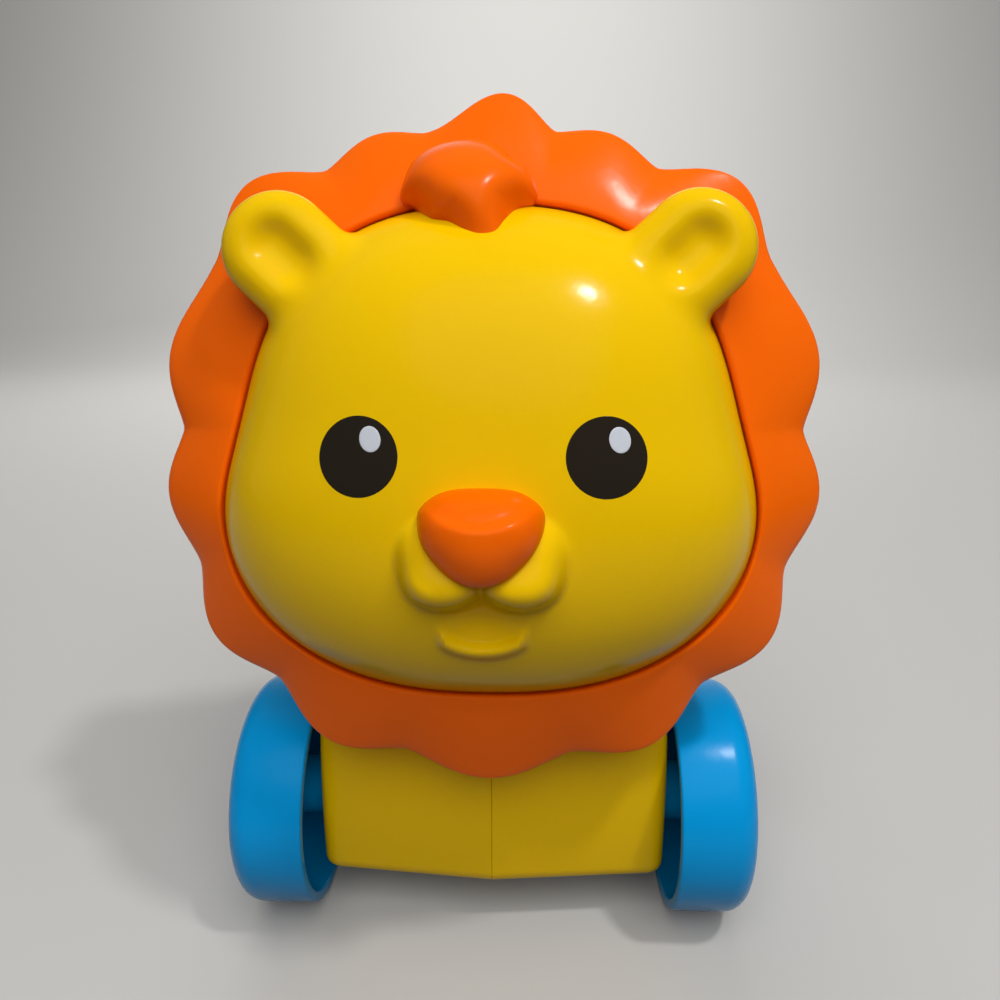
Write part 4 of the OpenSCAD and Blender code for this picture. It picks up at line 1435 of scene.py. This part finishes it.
@dataclass
class Body:
    """The wheeled body: two shells that meet at a seam down the front."""

    half_width: float = 35.3
    bottom: float = 11.1
    top: float = 45.6
    front: float = -32.2
    rear: float = 55.0
    v_angle: float = 5.0
    lean: float = 16.0
    lean_height: float = 14.0
    side_round: float = 2.8
    toe_round: float = 3.5
    edge_round: float = 4.5
    rear_round: float = 13.0
    lean_round: float = 4.0
    neck_y: float = -3.0
    collar_radius: float = 15.5
    collar_top: float = 48.8
    collar_foot: float = 21.1
    collar_edge: float = 0.8
    collar_fillet: float = 1.2
    bore_radius: float = 12.3
    bore_bottom: float = 40.0
    bore_top: float = 53.8
    seam_chamfer: float = 0.09
    seam_depth: float = 0.18
    screw_places: tuple[tuple[float, float], ...] = (
        (-21.4, 33.6), (-22.2, 17.0), (47.0, 36.0), (49.0, 17.0)
    )
    screw_hole: float = 3.1
    screw_grip: float = 20.0
    voxel: float = 0.8

    def surface(self, points: Array) -> Array:
        """Measures from the whole body with its collar.

        Args:
            points: Rows of x, y and z.

        Returns:
            Distances, below 0 inside.
        """
        x, y, z = points.T
        slant, back = math.radians(self.v_angle), math.radians(self.lean)
        panel = self.front + np.abs(x) * math.tan(slant) - y
        leaning = panel + (z - self.top + self.lean_height) * math.tan(back)
        sides = np.abs(x) - self.half_width
        low, high = self.bottom - z, z - self.top
        face = shared(panel * math.cos(slant), leaning * math.cos(slant) * math.cos(back), self.lean_round)
        corner = shared(sides, face, self.side_round)
        toe = shared(corner, low, self.toe_round)
        flank = shared(sides, low, self.edge_round)
        crown = shared(corner, high, self.edge_round)
        form = np.maximum(np.maximum(toe, flank), crown)
        form = shared(form, y - self.rear, self.rear_round)
        column = np.hypot(x, y - self.neck_y) - self.collar_radius
        ends = np.maximum(z - self.collar_top, self.collar_foot - z)
        return joined(form, shared(column, ends, self.collar_edge), self.collar_fillet)

    def build(self, wardrobe: Wardrobe) -> None:
        """Builds both shells.

        Args:
            wardrobe: Hands out the materials.
        """
        rough = bmesh.new()
        size = Vector((2 * self.half_width, self.rear - self.front, self.top - self.bottom))
        middle = Vector((0.0, (self.rear + self.front) / 2, (self.top + self.bottom) / 2))
        box = Matrix.Translation(middle) @ Matrix.Diagonal((*size, 1.0))
        bmesh.ops.create_cube(rough, size=1.0, matrix=box)
        bmesh.ops.bevel(
            rough, geom=rough.edges[:], offset=self.edge_round, offset_type="OFFSET", segments=5,
            profile=0.5, affect="EDGES", material=-1,
        )
        height = self.collar_top - self.collar_foot
        place = Matrix.Translation((0.0, self.neck_y, self.collar_top - height / 2))
        rod(rough, self.collar_radius, height, 96, place)
        whole = skin_over("body", rough, self.surface, self.voxel)
        for side in Side:
            name = side.name.lower()
            mesh = self.half(whole, side)
            mesh.transform(Matrix.Scale(MM, 4))
            mesh.update()
            wardrobe.piece(f"body_{name}_half", mesh, "chassis", "yellow_plastic", (f"body_{name}_shell",))

    def half(self, whole: bpy.types.Mesh, side: Side) -> bpy.types.Mesh:
        """Parts one shell from the body and drills it.

        Args:
            whole: The whole body's skin.
            side: Which half is kept.

        Returns:
            The shell, with a chamfered lip along the seam.
        """
        made = bmesh.new()
        made.from_mesh(whole)
        everything = made.verts[:] + made.edges[:] + made.faces[:]
        bmesh.ops.bisect_plane(
            made, geom=everything, plane_co=(0, 0, 0), plane_no=(-side.value, 0, 0), dist=1e-4,
            use_snap_center=False, clear_outer=True, clear_inner=False,
        )
        rim = [edge for edge in made.edges if edge.is_boundary]
        ring = list({vert for edge in rim for vert in edge.verts})
        places = np.array([vert.co for vert in ring])
        for _ in range(3):
            drawn = pulled(places, self.surface, 1)
            places[:, 1:] = drawn[:, 1:]
        step = 0.05
        slope = np.stack(
            [self.surface(places + way) - self.surface(places - way) for way in np.eye(3)[1:] * step], axis=1
        )
        slope /= np.maximum(np.linalg.norm(slope, axis=1, keepdims=True), 1e-9)
        inner = bmesh.ops.extrude_edge_only(made, edges=rim)["geom"]
        for vert, place in zip(ring, places):
            vert.co = (side.value * self.seam_chamfer, place[1], place[2])
        lip = [part for part in inner if isinstance(part, bmesh.types.BMVert)]
        for vert, row in zip(lip, nearest_rows(lip, places)):
            vert.co = (0.0, *(places[row, 1:] - slope[row] * self.seam_depth))
        edges = [edge for edge in made.edges if edge.is_boundary]
        bmesh.ops.holes_fill(made, edges=edges, sides=0)
        shell = mesh_of("shell", made)
        cutters = bmesh.new()
        bore = self.bore_top - self.bore_bottom
        place = Matrix.Translation((0.0, self.neck_y, self.bore_bottom + bore / 2))
        rod(cutters, self.bore_radius, bore, 96, place)
        if side is Side.LEFT:
            length = 2 * self.half_width
            turn = Matrix.Rotation(math.pi / 2, 4, "Y")
            for y, z in self.screw_places:
                place = Matrix.Translation((-self.screw_grip - length / 2, y, z))
                rod(cutters, self.screw_hole, length, 48, place @ turn)
        return drilled(shell, cutters)


def nearest_rows(verts: list[bmesh.types.BMVert], places: Array) -> list[int]:
    """Returns for each vertex the row of the place nearest to it."""
    return [int(np.argmin(((places - np.array(vert.co)) ** 2).sum(axis=1))) for vert in verts]


@dataclass
class WheelSet:
    """The two wheels of one axle."""

    axle: Axle
    y: float
    z: float
    radius: float = 23.5
    hub_x: float = 35.9
    tread_x: float = 36.3
    out_x: float = 51.5
    shoulder: float = 4.6
    wall: float = 2.2
    hub_radius: float = 6.0
    dish: float = 2.0
    land: float = 2.0
    axle_radius: float = 2.0
    blind_wall: float = 1.0
    crown: float = 0.12
    land_round: float = 0.7
    dish_round: float = 0.6
    dish_slope: float = 0.25
    edge_round: float = 0.5
    web_round: float = 1.2
    inner_draft: float = 0.3
    hub_draft: float = 0.2
    hub_round: float = 0.4
    bore_round: float = 0.3
    steps: int = 160
    arc_steps: int = 8

    def outline(self) -> list[tuple[float, float]]:
        """Draws a wheel's section.

        Returns:
            Distances from the axle and places across the toy.
        """
        flat = self.radius - self.shoulder
        floor = self.out_x - self.dish
        inner = self.radius - self.wall
        web = floor - self.wall
        blind = web - self.blind_wall + self.wall
        middle = (self.tread_x + self.out_x - self.shoulder) / 2
        dish_from, dish_to = self.hub_radius + self.land, flat - self.land
        corners = [
            (0.0, self.out_x, 0.0),
            (dish_from, self.out_x, self.land_round),
            (dish_from + self.dish_slope, floor, self.dish_round),
            (dish_to - self.dish_slope, floor, self.dish_round),
            (dish_to, self.out_x, self.land_round),
            (self.radius, self.out_x, self.shoulder),
            (self.radius, middle, 0.0),
            (self.radius - self.crown, self.tread_x, self.edge_round),
            (inner, self.tread_x, self.edge_round),
            (inner - self.inner_draft, web, self.web_round),
            (self.hub_radius + self.hub_draft, web, self.web_round),
            (self.hub_radius, self.hub_x, self.hub_round),
            (self.axle_radius, self.hub_x, self.bore_round),
            (self.axle_radius, blind, 0.0),
            (0.0, blind, 0.0),
        ]
        return filleted(corners, self.arc_steps)

    def build(self, wardrobe: Wardrobe) -> None:
        """Builds both wheels.

        Args:
            wardrobe: Hands out the materials.
        """
        for side in Side:
            made = spun(self.outline(), self.steps, closed=False)
            turn = Matrix.Rotation(math.pi / 2, 4, "Y")
            if side is Side.LEFT:
                turn = Matrix.Rotation(math.pi, 4, "Z") @ turn
            place = Matrix.Scale(MM, 4) @ Matrix.Translation((0.0, self.y, self.z)) @ turn
            bmesh.ops.transform(made, matrix=place, verts=made.verts)
            name = f"{self.axle.value}_{side.name.lower()}_wheel"
            body = f"{self.axle.value}_axle_set"
            wardrobe.piece(f"{name}_tyre", mesh_of(name, made), body, "blue_plastic", (name,))


@dataclass
class Spring:
    """The coil spring in the neck that lifts the head again."""

    neck_y: float = -3.0
    foot: float = 13.3
    top: float = 53.5
    stroke: float = 9.0
    radius: float = 6.4
    wire: float = 0.55
    turns: int = 9
    steps: int = 28
    sides: int = 10

    def build(self, wardrobe: Wardrobe) -> None:
        """Winds the spring at its full length, between its foot and its top.

        Args:
            wardrobe: Hands out the materials.
        """
        made = bmesh.new()
        ring = bmesh.ops.create_circle(made, cap_ends=False, segments=self.sides, radius=self.wire)["verts"]
        start = Matrix.Translation((self.radius, 0.0, self.foot + self.wire))
        bmesh.ops.transform(made, matrix=start @ Matrix.Rotation(math.pi / 2, 4, "X"), verts=ring)
        count = self.turns * self.steps
        rise = self.top - self.foot - 2 * self.wire
        bmesh.ops.spin(
            made, geom=made.verts[:] + made.edges[:], cent=(0, 0, 0), axis=(0, 0, 1),
            dvec=(0, 0, rise / count), angle=math.tau * self.turns, steps=count,
            use_merge=False, use_normal_flip=False, use_duplicate=False,
        )
        bmesh.ops.holes_fill(made, edges=[edge for edge in made.edges if edge.is_boundary], sides=0)
        place = Matrix.Scale(MM, 4) @ Matrix.Translation((0.0, self.neck_y, 0.0))
        bmesh.ops.transform(made, matrix=place, verts=made.verts)
        mesh = mesh_of("spring", made)
        coil = wardrobe.piece("spring_coil", mesh, "chassis", "plated_steel", ("return_spring",))
        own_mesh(coil)


@dataclass
class PressDrive:
    """The neck, the axles, the fasteners and the gears: nodes whose shapes stay as they are."""

    slots: dict[str, str] = field(default_factory=lambda: {
        "neck_post": "yellow_plastic", "axle_bushes": "gear_plastic", "axle_gear": "gear_plastic",
        "drive_gear": "gear_plastic", "clutch_pinion": "gear_plastic", "layshaft": "plated_steel",
        "body_screws": "plated_steel", "head_screws": "plated_steel", "neck_screw": "plated_steel",
        "front_axle": "plated_steel", "rear_axle": "plated_steel",
    })

    def build(self, wardrobe: Wardrobe, nodes: dict[str, bpy.types.Object]) -> None:
        """Dresses the drive's nodes.

        Args:
            wardrobe: Hands out the materials.
            nodes: The frame's nodes by name.
        """
        wardrobe.dress(nodes, self.slots)


@dataclass(frozen=True)
class Lamp:
    """A soft round lamp: where it hangs and the point that it shines at, in millimetres."""

    name: str
    at: tuple[float, float, float]
    towards: tuple[float, float, float]
    size: float
    power: float
    mirrored: bool = False

    def hang(self) -> None:
        """Hangs the lamp, which glossy surfaces mirror where mirrored says so."""
        data = bpy.data.lights.new(self.name, "AREA")
        data.shape = "DISK"
        data.size = self.size
        data.energy = self.power
        lamp = bpy.data.objects.new(self.name, data)
        bpy.context.scene.collection.objects.link(lamp)
        at = Vector(self.at)
        turn = (Vector(self.towards) - at).to_track_quat("-Z", "Y").to_matrix().to_4x4()
        lamp.matrix_world = Matrix.Translation(at * MM) @ turn
        lamp.visible_glossy = self.mirrored


@dataclass
class Studio:
    """A pale sweep, soft light and a camera close in front of the toy."""

    camera_at: tuple[float, float, float] = (6.77, -162.94, 137.73)
    yaw: float = -2.07
    pitch: float = 18.27
    roll: float = -0.3
    lens: float = 28.8
    sensor: float = 36.0
    nearest: float = 0.005
    floor_colour: Colour = (196, 194, 190)
    floor_shade: Colour = (80, 78, 76)
    world_colour: Colour = (236, 236, 238)
    sky_strength: float = 0.25
    side_strength: float = 0.24
    air_levels: tuple[float, float] = (-0.1, 0.95)
    sweep_width: float = 16.0
    sweep_front: float = -8.0
    sweep_wall: float = 1.4
    sweep_height: float = 3.0
    sweep_bend: float = 0.7
    lamps: tuple[Lamp, ...] = (
        Lamp("key", (262.289, -205.392, 673.903), (15.6, -39.9, 129.7), 0.06, 1.5, mirrored=True),
        Lamp("softbox", (60.0, -520.0, 700.0), (0.0, -20.0, 70.0), 0.8, 4.6),
        Lamp("rear softbox", (-150.0, 520.0, 560.0), (0.0, 20.0, 90.0), 0.9, 2.2),
        Lamp("backdrop", (0.0, 650.0, 900.0), (0.0, 1400.0, 350.0), 0.7, 9.0, mirrored=True),
    )

    def build(self) -> None:
        """Builds the sweep, the lamps, the world and the camera."""
        self.sweep()
        for lamp in self.lamps:
            lamp.hang()
        self.air()
        bpy.context.scene.view_settings.view_transform = "Standard"
        self.camera()

    def air(self) -> None:
        """Fills the room with soft light that is stronger from above than from the sides."""
        world = bpy.data.worlds.new("studio air")
        world.use_nodes = True
        nodes, links = world.node_tree.nodes, world.node_tree.links
        way = nodes.new("ShaderNodeTexCoord")
        parts = nodes.new("ShaderNodeSeparateXYZ")
        links.new(way.outputs["Generated"], parts.inputs["Vector"])
        level = nodes.new("ShaderNodeMapRange")
        level.interpolation_type = "SMOOTHSTEP"
        level.inputs["From Min"].default_value = self.air_levels[0]
        level.inputs["From Max"].default_value = self.air_levels[1]
        level.inputs["To Min"].default_value = self.side_strength
        level.inputs["To Max"].default_value = self.sky_strength
        links.new(parts.outputs["Z"], level.inputs["Value"])
        glow = nodes["Background"]
        glow.inputs["Color"].default_value = linear(self.world_colour)
        links.new(level.outputs["Result"], glow.inputs["Strength"])
        bpy.context.scene.world = world

    def sweep(self) -> None:
        """Builds the floor, which curves up into a wall well behind the toy."""
        arc_steps = 24
        corners = [
            (self.sweep_front, 0.0, 0.0),
            (self.sweep_wall, 0.0, self.sweep_bend),
            (self.sweep_wall, self.sweep_height, 0.0),
        ]
        made = bmesh.new()
        row = [made.verts.new((-self.sweep_width / 2, y, z)) for y, z in filleted(corners, arc_steps)]
        edges = [made.edges.new(pair) for pair in zip(row, row[1:])]
        sides = bmesh.ops.extrude_edge_only(made, edges=edges)["geom"]
        moved = [part for part in sides if isinstance(part, bmesh.types.BMVert)]
        bmesh.ops.translate(made, verts=moved, vec=(self.sweep_width, 0.0, 0.0))
        floor = bpy.data.objects.new("sweep", mesh_of("sweep", made))
        bpy.context.scene.collection.objects.link(floor)
        floor.data.shade_smooth()
        floor.data.materials.append(self.paper())

    def paper(self) -> bpy.types.Material:
        """Builds the sweep's paper, pale to look at, that throws little light up at the toy.

        Returns:
            The material.
        """
        finish = Plastic("paper", self.floor_colour, self.floor_colour, flow=0.1, gloss=0.8, haze=0.1)
        material = finish.material()
        nodes, links = material.node_tree.nodes, material.node_tree.links
        shader = nodes["Principled BSDF"]
        pale = shader.inputs["Base Color"].links[0].from_socket
        path = nodes.new("ShaderNodeLightPath")
        seen = path.outputs["Is Camera Ray"]
        for kind in ("Is Glossy Ray", "Is Transmission Ray"):
            both = nodes.new("ShaderNodeMath")
            both.operation = "MAXIMUM"
            links.new(seen, both.inputs[0])
            links.new(path.outputs[kind], both.inputs[1])
            seen = both.outputs["Value"]
        tone = nodes.new("ShaderNodeMix")
        tone.data_type = "RGBA"
        tone.inputs["A"].default_value = linear(self.floor_shade)
        links.new(seen, tone.inputs["Factor"])
        links.new(pale, tone.inputs["B"])
        links.new(tone.outputs["Result"], shader.inputs["Base Color"])
        return material

    def camera(self) -> None:
        """Sets up the camera at the photograph's viewing angle."""
        data = bpy.data.cameras.new("camera")
        data.lens = self.lens
        data.sensor_width = self.sensor
        data.clip_start = self.nearest
        yaw, pitch = math.radians(self.yaw), math.radians(self.pitch)
        ahead = Vector((math.sin(yaw) * math.cos(pitch), math.cos(yaw) * math.cos(pitch), -math.sin(pitch)))
        right = Vector((math.cos(yaw), -math.sin(yaw), 0.0))
        up = right.cross(ahead)
        turn = Matrix((right, up, -ahead)).transposed() @ Matrix.Rotation(math.radians(self.roll), 3, "Z")
        camera = bpy.data.objects.new("camera", data)
        bpy.context.scene.collection.objects.link(camera)
        camera.matrix_world = Matrix.Translation(Vector(self.camera_at) * MM) @ turn.to_4x4()
        bpy.context.scene.camera = camera


def main() -> None:
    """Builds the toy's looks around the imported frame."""
    logging.basicConfig(level=logging.INFO, format="%(name)s: %(message)s")
    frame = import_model()
    joints = {joint["name"]: joint for joint in frame["joints"]}
    wardrobe = Wardrobe()
    Studio().build()
    Head().build(wardrobe)
    Body().build(wardrobe)
    for axle in Axle:
        _, y, z = joints[f"{axle.value}_axle_spin"]["pos_m"]
        WheelSet(axle, y / MM, z / MM).build(wardrobe)
    Spring().build(wardrobe)
    PressDrive().build(wardrobe, frame["nodes"])


if __name__ == "__main__":
    main()
